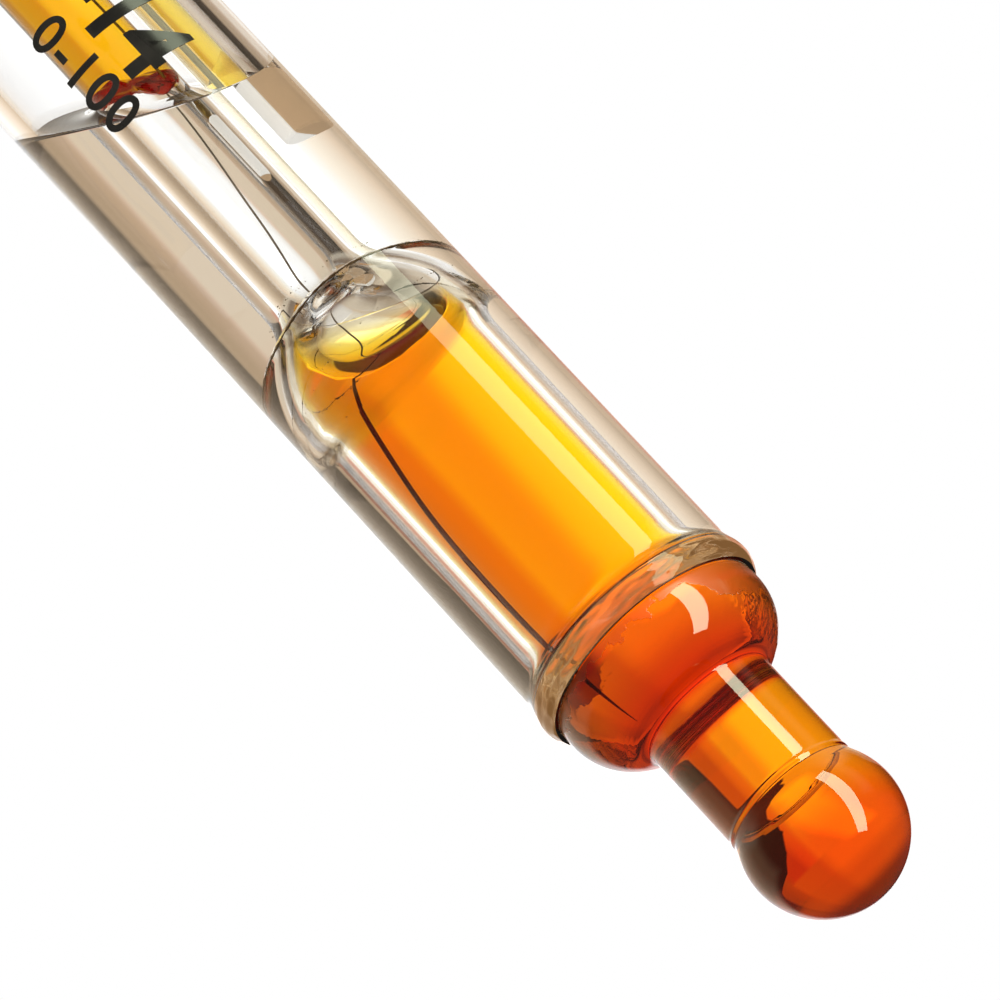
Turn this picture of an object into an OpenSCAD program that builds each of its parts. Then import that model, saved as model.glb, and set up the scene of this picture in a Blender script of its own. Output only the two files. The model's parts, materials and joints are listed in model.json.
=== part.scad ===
// Refillable glass combination electrode with a push-to-flush sleeve junction.
// The axis is on Z with the sensing bulb down, and z = 0 is the underside of the collar.

/* [Outer tube] */
// Outside diameter of the outer tube
tube_d = 12; // [11.6:0.1:12.6]
// Wall of the outer tube
tube_wall = 1; // [0.9:0.05:1.15]
// Length of the outer tube from the collar to its ground end
tube_length = 94; // [80:1:120]
// Profile radius of the bead round the mouth
rim_r = 1.2; // [1.1:0.05:1.3]
// How far the bead stands out from the tube
rim_proud = 0.25; // [0.1:0.05:0.25]
// Height of the bead's middle above the ground end
rim_lift = 0.8; // [0.6:0.05:0.9]
// Depth ground off the tube's top end, inside the collar
ground_depth = 0.2; // [0.15:0.05:0.3]

/* [Inner glass] */
// Wall of the chamber, cone and neck
glass_wall = 0.4; // [0.3:0.05:0.5]
// How far the widest ring of the cone lies inside the tube's outside
cone_inset = 0.23; // [0.2:0.01:0.4]
// Profile radius of the cone
cone_r = 3.2; // [3:0.1:3.4]
// Drop of the cone's widest ring below the tube's ground end
cone_drop = 0.68; // [0.6:0.02:0.9]
// Gap between the cone and its seat when closed
seat_gap = 0.05; // [0.03:0.01:0.1]
// Outside diameter of the neck above the bulb
neck_d = 6.9; // [6.5:0.1:7.2]
// Length of the neck between the cone and the bulb
neck_length = 6.15; // [4:0.05:9]
// Outside diameter of the sensing bulb
bulb_d = 8; // [7.6:0.1:9]
// Wall of the sensing bulb
bulb_wall = 0.35; // [0.25:0.05:0.45]
// Outside diameter of the chamber
chamber_d = 7; // [6.6:0.1:7.3]
// Length of the chamber from the tube's ground end to its shoulder
chamber_length = 18.3; // [14:0.1:24]
// How far the shoulder swells beyond the chamber
shoulder_swell = 0.25; // [0.15:0.05:0.4]
// Profile radius of the swell
swell_r = 3.5; // [3:0.1:4]
// Profile radius of the dome between shoulder and stem
dome_r = 7; // [6:0.1:8]
// Outside diameter of the stem
stem_d = 4.1; // [3.8:0.1:4.3]
// Bore of the stem
stem_bore = 3; // [2.8:0.1:3.2]

/* [Solutions] */
// Hairline between a solution and the glass that holds it
liquid_gap = 0.05; // [0.03:0.01:0.1]
// Gap between the filling solution and the outer tube that slides past it
slide_gap = 0.15; // [0.1:0.01:0.25]
// Slope of the free surfaces towards +X, in degrees
level_slope = 32; // [0:1:40]
// Slope of the free surfaces towards -Y, in degrees
level_lean = 32; // [0:1:36]
// Inner solution's surface on the axis, above the widest ring of the shoulder
inner_level = 2; // [-1:0.1:2.2]
// Filling solution's surface on the axis, above the foot of the stem
fill_level = 14.5; // [13:0.1:30]
// Underside of the column in the stem, above the foot of the stem
stem_level = 15.6; // [12:0.1:30]
// Top of the columns in the stem and the reference tube, above the collar's underside
column_top = 9; // [2:0.5:10]

/* [Wire] */
// Diameter of the platinum wire
wire_d = 0.3; // [0.2:0.05:0.4]
// Depth of the wire's tip below the tube's ground end
wire_drop = 1.6; // [0.5:0.1:2.5]

/* [Reference half-cell] */
// Outside diameter of the reference tube
ref_d = 2; // [1.8:0.1:2.2]
// Bore of the reference tube
ref_bore = 1.3; // [1.1:0.1:1.4]
// Lower end of the reference tube above the foot of the stem
ref_end = 7.4; // [5:0.1:9]
// Length of the porous plug
frit_length = 4; // [2:0.5:6]
// How far the porous plug stands out of the reference tube
frit_proud = 0.3; // [0.1:0.1:0.5]
// Diameter of the reference wire
ref_wire_d = 0.25; // [0.2:0.05:0.3]
// Distance of the reference wire from its tube's axis, towards the stem
ref_wire_shift = 0.3; // [0.25:0.05:0.35]

/* [Collar and filling sleeve] */
// Width of the collar's flange beyond the tube
flange_rim = 2; // [1.8:0.1:3]
// Height of the collar's flange
flange_h = 8; // [7.6:0.1:10]
// Depth of the socket for the tube's top end
socket_depth = 7; // [5:0.1:7.2]
// Gap round the tube in the socket, filled with cement
socket_fit = 0.25; // [0.2:0.05:0.4]
// Chamfer at the socket's mouth
socket_chamfer = 0.4; // [0.3:0.05:0.6]
// Film left free on each side of the cement
cement_film = 0.02; // [0.01:0.01:0.04]
// Wall of the collar above the flange
collar_wall = 1.8; // [1.5:0.1:2.4]
// How far the cap's skirt reaches down over the collar
skirt_lap = 2; // [1:0.1:3]
// Diameter of the filling hole
fill_hole_d = 3.6; // [3:0.1:4]
// Length of the rubber sleeve
sleeve_length = 8; // [6.5:0.1:10]
// Wall of the rubber sleeve
sleeve_wall = 1.15; // [0.8:0.05:1.4]
// Running gap round the sleeve
sleeve_fit = 0.05; // [0.02:0.01:0.1]
// Gap between the flange and the sleeve at rest
sleeve_gap = 0.1; // [0.05:0.05:0.3]
// Travel of the sleeve, upwards
sleeve_travel = 5.2; // [5:0.1:6]

/* [Stem head and seal] */
// Running gap of the stem head in the collar
head_fit = 0.1; // [0.05:0.01:0.1]
// Height of the stem head's lower end above the collar's underside
head_bottom = 13; // [12.6:0.1:16]
// Depth of the reference tube's seat in the stem head
ref_seat = 4; // [3:0.1:5]
// Gap round the glass in the stem head
glass_fit = 0.05; // [0.03:0.01:0.1]
// Thickness of the seal ring
o_ring_w = 1.3; // [1:0.1:1.4]
// Gap between the seal ring and the collar
o_ring_fit = 0.05; // [0.03:0.01:0.1]
// Height of the seal ring above the stem head's lower end
o_ring_lift = 8; // [7:0.1:10]
// Width of the stem head's threaded end
thread_d = 8.6; // [8.3:0.1:9]
// Length of the threaded end
thread_length = 8; // [6:0.1:10]
// Height of the stem's plug
plug_h = 3; // [2:0.1:4]

/* [Spring] */
// Room for the spring and its washers under the cap
spring_room = 13; // [12:0.1:16]
// Wire of the spring
spring_wire = 0.8; // [0.6:0.05:0.9]
// Turns of the spring
spring_turns = 5; // [4:1:5]
// Gap between the spring and the stem head
spring_clear = 0.4; // [0.3:0.05:0.6]
// Thickness of each washer
washer_t = 0.6; // [0.4:0.1:0.8]
// Width of each washer beyond the spring
washer_rim = 0.3; // [0.2:0.05:0.4]

/* [Cap and gland] */
// Travel of the cap when pressed
press_travel = 4.5; // [3:0.1:5]
// Room left between the pressed cap and the raised sleeve
skirt_clear = 1.2; // [0.5:0.1:2]
// Gap between the cap's skirt and the collar
cap_clear = 0.3; // [0.2:0.05:0.5]
// Wall of the cap's skirt
cap_wall = 0.9; // [0.8:0.05:1.4]
// Gap round the threaded end in the cap
thread_fit = 0.05; // [0.03:0.01:0.1]
// Rounding of the cap's top edge
cap_round = 2; // [1:0.1:2.4]
// Number of grip flutes
flutes = 24; // [16:1:28]
// Depth of the grip flutes
flute_depth = 0.35; // [0.2:0.05:0.45]
// Smooth band between the flutes and the rounded top edge
flute_stop = 1; // [0.5:0.1:3]
// Height of the resin over the stem head
potting_h = 3; // [2:0.1:4]
// Diameter of the cable that the gland takes
cable_d = 5; // [4.4:0.1:5.4]
// Wall of the gland's sleeve
gland_wall = 1.5; // [1.2:0.1:1.7]
// Depth of the gland in the cap
gland_depth = 7; // [5:0.1:9]
// Height of the gland's head over the cap
gland_head_h = 4; // [3:0.1:6]
// Width of the gland's head beyond its sleeve
gland_rim = 1.2; // [0.8:0.1:1.4]
// Diameter of the leads
lead_d = 0.9; // [0.6:0.1:1]

/* [Hidden] */
$fn = 64;
// Overlap of a cutting shape past the face that it opens
cut = 1;

tube_r = tube_d / 2;
bore_r = tube_r - tube_wall;
ground_r = tube_r - ground_depth;
chamber_r = chamber_d / 2;
neck_r = neck_d / 2;
bulb_r = bulb_d / 2;
stem_r = stem_d / 2;
stem_bore_r = stem_bore / 2;

// Heights along the axis, from the mouth of the tube
z_mouth = -tube_length;
z_rim = z_mouth + rim_lift;
z_cone = z_mouth - cone_drop;
cone_mid = tube_r - cone_inset - cone_r;
z_fold = z_cone - sqrt(pow(cone_r, 2) - pow(neck_r - cone_mid, 2));
z_joint = z_fold - neck_length;
z_bulb = z_joint - sqrt(pow(bulb_r, 2) - pow(neck_r, 2));
swell_half = sqrt(2 * swell_r * shoulder_swell - pow(shoulder_swell, 2));
z_shoulder = z_mouth + chamber_length + swell_half;
swell_mid = chamber_r + shoulder_swell - swell_r;
dome_mid = chamber_r + shoulder_swell - dome_r;
z_seam = z_shoulder + sqrt(pow(dome_r, 2) - pow(stem_r - dome_mid, 2));

// Collar, sleeve and cap, upwards from the holder seat
flange_r = tube_r + flange_rim;
collar_r = bore_r + collar_wall;
socket_r = tube_r + socket_fit;
z_sleeve = flange_h + sleeve_gap;
z_skirt = z_sleeve + sleeve_length + sleeve_travel + press_travel + skirt_clear;
z_collar_top = z_skirt + skirt_lap;
z_hole = z_sleeve + sleeve_travel / 2;
z_ceiling = z_collar_top + spring_room;
z_head_top = z_ceiling + thread_length;
z_potting_top = z_head_top + potting_h;
z_cap_top = z_potting_top + gland_depth;
cap_bore_r = collar_r + cap_clear;
cap_r = cap_bore_r + cap_wall;
thread_r = thread_d / 2;
cable_r = cable_d / 2;
gland_r = cable_r + gland_wall;
lead_r = lead_d / 2;

// Stem head and what it holds
head_r = bore_r - head_fit;
seat_r = stem_r + glass_fit;
z_stem_top = z_ceiling + thread_length / 4;
z_plug = z_stem_top - plug_h;
z_o_ring = head_bottom + o_ring_lift;
o_ring_mid = bore_r - o_ring_fit - o_ring_w / 2;
ref_x = (stem_r + bore_r) / 2;
ref_r = ref_d / 2;
ref_bore_r = ref_bore / 2;
ref_wire_x = ref_x - ref_wire_shift;
z_ref_end = z_seam + ref_end;
z_ref_top = head_bottom + ref_seat;
z_frit = z_ref_end - frit_proud;
z_frit_top = z_frit + frit_length;
z_lead_foot = z_head_top - thread_length / 4;

// Free surfaces of the solutions
z_inner_level = z_shoulder + inner_level;
z_fill_level = z_seam + fill_level;
z_stem_level = z_seam + stem_level;
level_block = 4 * tube_d;

// Spring between the washers
spring_mid_r = head_r + spring_clear + spring_wire / 2;
washer_r = spring_mid_r + spring_wire / 2 + washer_rim;
washer_bore_r = head_r + spring_clear / 2;
z_spring = z_collar_top + washer_t + liquid_gap;
z_spring_top = z_ceiling - washer_t - liquid_gap;
turn_rings = 8;
spring_sides = 6;
wire_sides = 8;
// Straight ends of the spring, one wire thick, stand square on the washers
spring_rise = z_spring_top - z_spring - 2 * spring_wire;
helix = [for (i = [0 : spring_turns * turn_rings])
    let (a = 360 * i / turn_rings)
    [spring_mid_r * cos(a), spring_mid_r * sin(a),
     z_spring + spring_wire + spring_rise * i / (spring_turns * turn_rings)]];
spring_path = concat([helix[0] - [0, 0, spring_wire]], helix,
                     [helix[len(helix) - 1] + [0, 0, spring_wire]]);
spring_gap = min([for (i = [0 : len(helix) - 1]) for (j = [i + turn_rings / 2 : 1 : len(helix) - 1])
    norm(helix[i] - helix[j])]) - spring_wire;
echo(spring_gap_mm = spring_gap);

// Height at a share of the stem's length above its foot
function stem_height(share) = z_seam + share * (z_stem_top - z_seam);

// Route of the platinum wire: across the stem's bore, then down along the chamber's wall
chamber_bore_r = chamber_r - glass_wall;
wire_route = [
    [0, 0, z_lead_foot],
    [0, 0, stem_height(0.8)],
    [0.2 * stem_bore_r, 0, stem_height(0.55)],
    [0.45 * stem_bore_r, 0, stem_height(0.32)],
    [0.7 * stem_bore_r, 0, stem_height(0.14)],
    [0.3 * stem_bore_r, 0, stem_height(0.05)],
    [-0.4 * stem_bore_r, -0.1 * stem_bore_r, z_seam],
    [-0.2 * chamber_bore_r, -0.1 * chamber_bore_r, z_shoulder + 2.4],
    [-0.5 * chamber_bore_r, -0.2 * chamber_bore_r, z_shoulder + 0.8],
    [-0.76 * chamber_bore_r, -0.3 * chamber_bore_r, z_mouth + 0.85 * chamber_length],
    [-0.85 * chamber_bore_r, -0.3 * chamber_bore_r, z_mouth + 0.57 * chamber_length],
    [-0.86 * chamber_bore_r, -0.3 * chamber_bore_r, z_mouth + 0.2 * chamber_length],
    [-0.78 * chamber_bore_r, -0.3 * chamber_bore_r, z_mouth - wire_drop],
];
route_steps = 3;

function unit(v) = v / norm(v);
function route_point(p, i) = p[max(0, min(len(p) - 1, i))];
// Smooth curve through the points of a route
function smooth(p, steps) = [for (i = [0 : (len(p) - 1) * steps])
    let (k = min(len(p) - 2, floor(i / steps)), u = i / steps - k,
         a = route_point(p, k - 1), b = p[k], c = p[k + 1], d = route_point(p, k + 2))
    0.5 * (2 * b + (c - a) * u + (2 * a - 5 * b + 4 * c - d) * u * u
           + (3 * b - a - 3 * c + d) * u * u * u)];

// Round tube along a path; each ring's first corner turns towards its own guide vector
module tube_along(path, guides, r, sides) {
    last = len(path) - 1;
    rings = [for (i = [0 : last])
        let (t = unit(route_point(path, i + 1) - route_point(path, i - 1)),
             u = unit(guides[i] - (guides[i] * t) * t), v = cross(t, u))
        for (k = [0 : sides - 1])
            path[i] + r * (cos(360 * k / sides) * u + sin(360 * k / sides) * v)];
    walls = [for (i = [0 : last - 1]) for (k = [0 : sides - 1])
        let (n = (k + 1) % sides, a = i * sides + k, b = i * sides + n)
        each [[a, a + sides, b], [b, a + sides, b + sides]]];
    ends = [for (k = [1 : sides - 2])
        each [[0, k, k + 1], [last * sides, last * sides + k + 1, last * sides + k]]];
    polyhedron(rings, concat(walls, ends));
}

// Disc of a profile, kept on the right of the axis
module profile_disc(x, z, r) {
    intersection() {
        translate([x, z]) circle(r);
        translate([0, z - r - cut]) square([x + r + cut, 2 * (r + cut)]);
    }
}

// Bar of a profile from the axis out to a radius
module profile_bar(r, z_low, z_high) {
    translate([0, z_low]) square([r, z_high - z_low]);
}

// Outline of the chamber, cone and neck, drawn in by an inset for their bore
module chamber_profile(inset) {
    profile_bar(neck_r - inset, z_joint, z_cone);
    profile_disc(cone_mid, z_cone, cone_r - inset);
    profile_bar(chamber_r - inset, z_cone, z_shoulder);
    profile_disc(swell_mid, z_shoulder, swell_r - inset);
    intersection() {
        profile_disc(dome_mid, z_shoulder, dome_r - inset);
        profile_bar(chamber_d, z_shoulder, z_seam);
    }
}

// Half-space above a sloping free surface
module above_level(z) {
    translate([0, 0, z]) rotate([level_lean, level_slope, 0])
        translate([-level_block / 2, -level_block / 2, 0]) cube(level_block);
}

module ring(r_out, r_in, z_low, z_high) {
    translate([0, 0, z_low]) difference() {
        cylinder(h = z_high - z_low, r = r_out);
        translate([0, 0, -cut]) cylinder(h = z_high - z_low + 2 * cut, r = r_in);
    }
}

module rod(x, r, z_low, z_high) {
    translate([x, 0, z_low]) cylinder(h = z_high - z_low, r = r);
}

module outer_tube() {
    color([0.86, 0.9, 0.92, 0.4]) rotate_extrude() difference() {
        union() {
            profile_bar(tube_r, z_rim, 0);
            profile_bar(ground_r, 0, socket_depth);
            intersection() {
                profile_disc(tube_r + rim_proud - rim_r, z_rim, rim_r);
                profile_bar(tube_d, z_mouth, 0);
            }
        }
        profile_bar(bore_r, z_mouth - cut, socket_depth + cut);
        profile_disc(cone_mid, z_cone, cone_r + seat_gap);
    }
}

module tube_cement() {
    color("wheat") ring(socket_r - cement_film, ground_r + cement_film, socket_chamfer, socket_depth);
}

module collar() {
    color("dimgray") difference() {
        union() {
            cylinder(h = flange_h, r = flange_r);
            cylinder(h = z_collar_top, r = collar_r);
        }
        translate([0, 0, -cut]) cylinder(h = socket_depth + cut, r = socket_r);
        translate([0, 0, -socket_chamfer])
            cylinder(h = 2 * socket_chamfer, r1 = socket_r + 2 * socket_chamfer, r2 = socket_r);
        cylinder(h = z_collar_top + cut, r = bore_r);
        translate([0, 0, z_hole]) rotate([0, 90, 0]) cylinder(h = flange_r, d = fill_hole_d);
    }
}

module lower_washer() {
    color("silver") ring(washer_r, washer_bore_r, z_collar_top, z_collar_top + washer_t);
}

module return_spring() {
    color("lightsteelblue")
        tube_along(spring_path, [for (p = spring_path) [p[0], p[1], 0]], spring_wire / 2, spring_sides);
}

module fill_sleeve() {
    color("steelblue") ring(collar_r + sleeve_fit + sleeve_wall, collar_r + sleeve_fit,
                            z_sleeve, z_sleeve + sleeve_length);
}

module stem_tube() {
    color([0.86, 0.9, 0.92, 0.4]) ring(stem_r, stem_bore_r, z_seam, z_stem_top);
}

module inner_chamber() {
    color([0.9, 0.93, 0.95, 0.4]) rotate_extrude() difference() {
        chamber_profile(0);
        chamber_profile(glass_wall);
        profile_bar(neck_r - glass_wall, z_joint - cut, z_cone);
        profile_bar(stem_bore_r, z_shoulder, z_seam + cut);
    }
}

module sensing_bulb() {
    color([0.9, 0.92, 0.94, 0.4]) translate([0, 0, z_bulb]) difference() {
        sphere(bulb_r);
        sphere(bulb_r - bulb_wall);
        translate([-bulb_r, -bulb_r, z_joint - z_bulb]) cube(bulb_d);
    }
}

module inner_solution() {
    color("orangered") difference() {
        rotate_extrude() {
            chamber_profile(glass_wall + liquid_gap);
            profile_disc(0, z_bulb, bulb_r - bulb_wall - liquid_gap);
        }
        above_level(z_inner_level);
    }
}

module stem_solution() {
    color("darkorange") intersection() {
        rod(0, stem_bore_r - liquid_gap, z_stem_level - stem_bore, column_top);
        union() {
            above_level(z_stem_level);
            rod(0, stem_bore_r, z_stem_level + stem_bore, column_top);
        }
    }
}

module filling_solution() {
    color([0.85, 0.92, 0.95, 0.4]) difference() {
        rotate_extrude() difference() {
            profile_bar(bore_r - slide_gap, z_mouth, z_fill_level + tube_d);
            chamber_profile(-liquid_gap);
            profile_bar(stem_r + liquid_gap, z_shoulder, z_fill_level + tube_d + cut);
        }
        rod(ref_x, ref_r + liquid_gap, z_frit - liquid_gap, z_fill_level + tube_d + cut);
        above_level(z_fill_level);
    }
}

module platinum_wire() {
    path = smooth(wire_route, route_steps);
    color("gray") tube_along(path, [for (p = path) [0, 1, 0]], wire_d / 2, wire_sides);
}

module stem_plug() {
    color("ivory") ring(stem_bore_r - glass_fit, wire_d / 2 + glass_fit, z_plug, z_stem_top);
}

module reference_tube() {
    color([0.86, 0.9, 0.92, 0.4]) translate([ref_x, 0, 0]) ring(ref_r, ref_bore_r, z_ref_end, z_ref_top);
}

module reference_frit() {
    color("white") rod(ref_x, ref_bore_r - glass_fit, z_frit, z_frit_top);
}

module reference_solution() {
    color("darkorange") rod(ref_x, ref_bore_r - liquid_gap, z_frit_top, column_top);
}

module reference_wire() {
    color("gray") rod(ref_wire_x, ref_wire_d / 2, z_frit_top + 1, z_lead_foot);
}

module stem_head() {
    color("slategray") difference() {
        union() {
            translate([0, 0, head_bottom]) cylinder(h = z_ceiling - head_bottom, r = head_r);
            translate([0, 0, z_ceiling]) cylinder(h = thread_length, r = thread_r);
        }
        rod(0, seat_r, head_bottom - cut, z_stem_top);
        rod(0, lead_r + glass_fit, z_stem_top - cut, z_head_top + cut);
        rod(ref_x, ref_r + glass_fit, head_bottom - cut, z_ref_top);
        rod(ref_wire_x, ref_wire_d / 2 + glass_fit, z_ref_top - cut, z_lead_foot);
        rod(ref_wire_x, lead_r + glass_fit, z_lead_foot, z_head_top + cut);
        ring(head_r + cut, o_ring_mid - o_ring_w / 2 - glass_fit,
             z_o_ring - o_ring_w / 2 - head_fit, z_o_ring + o_ring_w / 2 + head_fit);
    }
}

module o_ring() {
    color("black") translate([0, 0, z_o_ring]) rotate_extrude()
        translate([o_ring_mid, 0]) circle(d = o_ring_w);
}

module upper_washer() {
    color("silver") ring(washer_r, washer_bore_r, z_ceiling - washer_t, z_ceiling);
}

module cap() {
    color("dimgray") difference() {
        rotate_extrude() difference() {
            union() {
                profile_bar(cap_r, z_skirt, z_cap_top - cap_round);
                profile_bar(cap_r - cap_round, z_skirt, z_cap_top);
                profile_disc(cap_r - cap_round, z_cap_top - cap_round, cap_round);
            }
            profile_bar(cap_bore_r, z_skirt - cut, z_ceiling);
            profile_bar(thread_r + thread_fit, z_ceiling - cut, z_potting_top);
            profile_bar(gland_r + thread_fit, z_potting_top - cut, z_cap_top + cut);
        }
        for (i = [0 : flutes - 1])
            rotate(360 * (i + 0.5) / flutes) rod(cap_r + cap_wall - flute_depth, cap_wall,
                                                 z_ceiling - skirt_lap, z_cap_top - cap_round - flute_stop);
    }
}

module cap_potting() {
    color("tan") difference() {
        rod(0, thread_r, z_head_top, z_potting_top);
        rod(0, lead_r + glass_fit, z_head_top - cut, z_potting_top + cut);
        rod(ref_wire_x, lead_r + glass_fit, z_head_top - cut, z_potting_top + cut);
    }
}

module signal_lead() {
    color("firebrick") rod(0, lead_r, z_lead_foot, z_potting_top);
}

module reference_lead() {
    color("royalblue") rod(ref_wire_x, lead_r, z_lead_foot, z_potting_top);
}

module cable_gland() {
    color("black") difference() {
        union() {
            rod(0, gland_r, z_potting_top, z_cap_top + gland_head_h);
            rod(0, gland_r + gland_rim, z_cap_top, z_cap_top + gland_head_h);
        }
        rod(0, cable_r, z_potting_top - cut, z_cap_top + gland_head_h + cut);
    }
}

outer_tube();
tube_cement();
collar();
lower_washer();
return_spring();
fill_sleeve();
stem_tube();
inner_chamber();
sensing_bulb();
inner_solution();
stem_solution();
filling_solution();
platinum_wire();
stem_plug();
reference_tube();
reference_frit();
reference_solution();
reference_wire();
stem_head();
o_ring();
upper_washer();
cap();
cap_potting();
signal_lead();
reference_lead();
cable_gland();
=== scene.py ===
"""Refillable glass pH electrode: glass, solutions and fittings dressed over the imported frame."""

import json
import math

import bmesh
import bpy
import numpy as np
from mathutils import Matrix, Vector, noise


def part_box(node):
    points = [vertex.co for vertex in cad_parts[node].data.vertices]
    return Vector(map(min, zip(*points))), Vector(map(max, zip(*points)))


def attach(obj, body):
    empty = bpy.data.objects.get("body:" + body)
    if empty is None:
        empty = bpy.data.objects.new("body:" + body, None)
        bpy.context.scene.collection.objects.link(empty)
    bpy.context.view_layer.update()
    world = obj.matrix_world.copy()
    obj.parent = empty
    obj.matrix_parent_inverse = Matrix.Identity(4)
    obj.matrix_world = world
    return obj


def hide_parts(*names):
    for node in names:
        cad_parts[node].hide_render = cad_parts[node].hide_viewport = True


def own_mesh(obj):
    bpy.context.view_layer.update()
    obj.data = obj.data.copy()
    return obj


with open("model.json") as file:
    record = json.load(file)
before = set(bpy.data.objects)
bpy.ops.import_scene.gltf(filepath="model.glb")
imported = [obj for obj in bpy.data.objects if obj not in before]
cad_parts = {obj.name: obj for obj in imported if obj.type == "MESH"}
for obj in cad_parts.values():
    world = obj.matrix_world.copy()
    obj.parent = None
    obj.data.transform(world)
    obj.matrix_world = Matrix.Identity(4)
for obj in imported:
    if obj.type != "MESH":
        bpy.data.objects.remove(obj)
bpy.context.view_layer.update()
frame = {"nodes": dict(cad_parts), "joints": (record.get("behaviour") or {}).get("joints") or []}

MM = 0.001


def foot_of(node):
    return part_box(node)[0].z / MM


def top_of(node):
    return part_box(node)[1].z / MM


def span_of(node):
    return foot_of(node), top_of(node)


def reach_of(node):
    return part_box(node)[1].x / MM


# Outer tube, in millimetres
TUBE_R = 6.0
BORE_R = 5.0
GROUND_R = 5.8
RIM_R = 1.2
RIM_PROUD = 0.25
RIM_FLARE = 1.3
Z_MOUTH, Z_TUBE_TOP = span_of("outer_tube")
Z_RIM = Z_MOUTH + 0.8
SEAT_GAP = 0.05
SEAT_EDGE_R = 5.95
RIM_BAND = 0.4

# Inner glass
GLASS_WALL = 0.4
CHAMBER_WALL = 0.55
CONE_R = 3.2
CONE_MID = 2.57
Z_CONE = Z_MOUTH - 0.68
NECK_R = 3.45
CHAMBER_R = 3.5
SWELL_R = 3.5
SWELL_MID = 0.25
DOME_R = 7.0
DOME_MID = -3.25
STEM_R = 2.05
STEM_BORE_R = 1.5
Z_JOINT, Z_SEAM = span_of("inner_chamber")
Z_SHOULDER = Z_SEAM - math.sqrt(DOME_R ** 2 - (STEM_R - DOME_MID) ** 2)
Z_CHAMBER_TOP = Z_SHOULDER - math.sqrt(SWELL_R ** 2 - (CHAMBER_R - SWELL_MID) ** 2)
Z_CHAMBER_FOOT = Z_CONE + math.sqrt(CONE_R ** 2 - (CHAMBER_R - CONE_MID) ** 2)
Z_STEM_TOP = top_of("stem_tube")
BULB_R = reach_of("sensing_bulb")
BULB_WALL = 0.35
Z_BULB = foot_of("sensing_bulb") + BULB_R

# Solutions: free surfaces slope, and each solution laps a hair into the glass that holds it
LEAN = math.radians(32)
SLOPE_X = math.tan(LEAN)
SLOPE_Y = -math.tan(LEAN) / math.cos(LEAN)
Z_FILL_LEVEL = Z_SEAM + 14.5
Z_STEM_LEVEL = Z_SEAM + 15.6
Z_COLUMN_TOP = top_of("stem_solution")
LAP = 0.03

# Reference half-cell
REF_X = (STEM_R + BORE_R) / 2
REF_R = 1.0
REF_BORE_R = 0.65
Z_REF_END, Z_REF_TOP = span_of("reference_tube")

SIDES = 160


def smooth_step(x):
    x = np.clip(x, 0, 1)
    return x * x * (3 - 2 * x)


def bump(z, middle, width):
    return np.exp(-0.5 * ((z - middle) / width) ** 2)


# Outlines of the blown inner glass


def disc_reach(z, mid, centre, radius):
    left = radius ** 2 - (z - centre) ** 2
    return np.where(left > 0, mid + np.sqrt(np.maximum(left, 0)), 0)


def sharp_outline(z, inset, stem):
    neck = np.where((z <= Z_CONE) & (z >= Z_JOINT), NECK_R - inset, 0)
    ball = np.where(z < Z_JOINT, disc_reach(z, 0, Z_BULB, BULB_R - np.minimum(inset, BULB_WALL)), 0)
    cone = disc_reach(z, CONE_MID, Z_CONE, CONE_R - inset)
    wall = np.where((z >= Z_CONE) & (z <= Z_SHOULDER), CHAMBER_R - inset, 0)
    swell = disc_reach(z, SWELL_MID, Z_SHOULDER, SWELL_R - inset)
    dome = np.where(z >= Z_SHOULDER, disc_reach(z, DOME_MID, Z_SHOULDER, DOME_R - inset), 0)
    shaft = np.where(z >= Z_SHOULDER, stem, 0)
    return np.maximum.reduce([ball, neck, cone, wall, swell, dome, shaft])


def blown(z, radii, joint):
    """Softens each fold as far as the flame did."""
    widths = (0.13 + 0.42 * bump(z, Z_CHAMBER_FOOT + 0.5, 0.8) + 0.5 * bump(z, Z_SEAM, 1.2)
              + 0.25 * bump(z, Z_CHAMBER_TOP, 0.8) + joint * bump(z, Z_JOINT, 0.5))
    weights = np.exp(-0.5 * ((z[:, None] - z[None, :]) / widths[:, None]) ** 2)
    return weights @ radii / weights.sum(1)


Z_BALL = Z_BULB + 0.6
Z_STRAIGHT = Z_SEAM + 3
LINE_STEP = 0.04
HEIGHTS = np.arange(Z_BULB, Z_SEAM + 8.0, LINE_STEP)
OUTLINE = blown(HEIGHTS, sharp_outline(HEIGHTS, 0.0, STEM_R), joint=0.04)
WALLS = GLASS_WALL + (CHAMBER_WALL - GLASS_WALL) * smooth_step((HEIGHTS - Z_CHAMBER_FOOT) / 1.5)
BORE_LINE = blown(HEIGHTS, sharp_outline(HEIGHTS, WALLS, STEM_BORE_R), joint=0.1)
# Even wall from the shoulder up into the stem
LEANING_WALL = CHAMBER_WALL * np.sqrt(1 + np.gradient(OUTLINE, HEIGHTS) ** 2)
BORE_LINE = np.where(HEIGHTS > Z_SHOULDER, OUTLINE - LEANING_WALL, BORE_LINE)


def outside(z):
    return np.interp(z, HEIGHTS, OUTLINE)


def inside(z):
    return np.interp(z, HEIGHTS, BORE_LINE)


def needed(points, tolerance):
    """Drops the points that a straight line through their neighbours already gives."""
    points = np.asarray(points, float)
    keep = {0, len(points) - 1}
    spans = [(0, len(points) - 1)]
    while spans:
        a, b = spans.pop()
        if b - a < 2:
            continue
        run = points[b] - points[a]
        off = points[a + 1:b] - points[a]
        miss = np.abs(off[:, 0] * run[1] - off[:, 1] * run[0]) / max(np.hypot(*run), 1e-9)
        worst = a + 1 + int(np.argmax(miss))
        if miss.max() > tolerance:
            keep.add(worst)
            spans += [(a, worst), (worst, b)]
    return points[sorted(keep)]


LONG_RUN = 0.8
GUARD = 0.12


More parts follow.
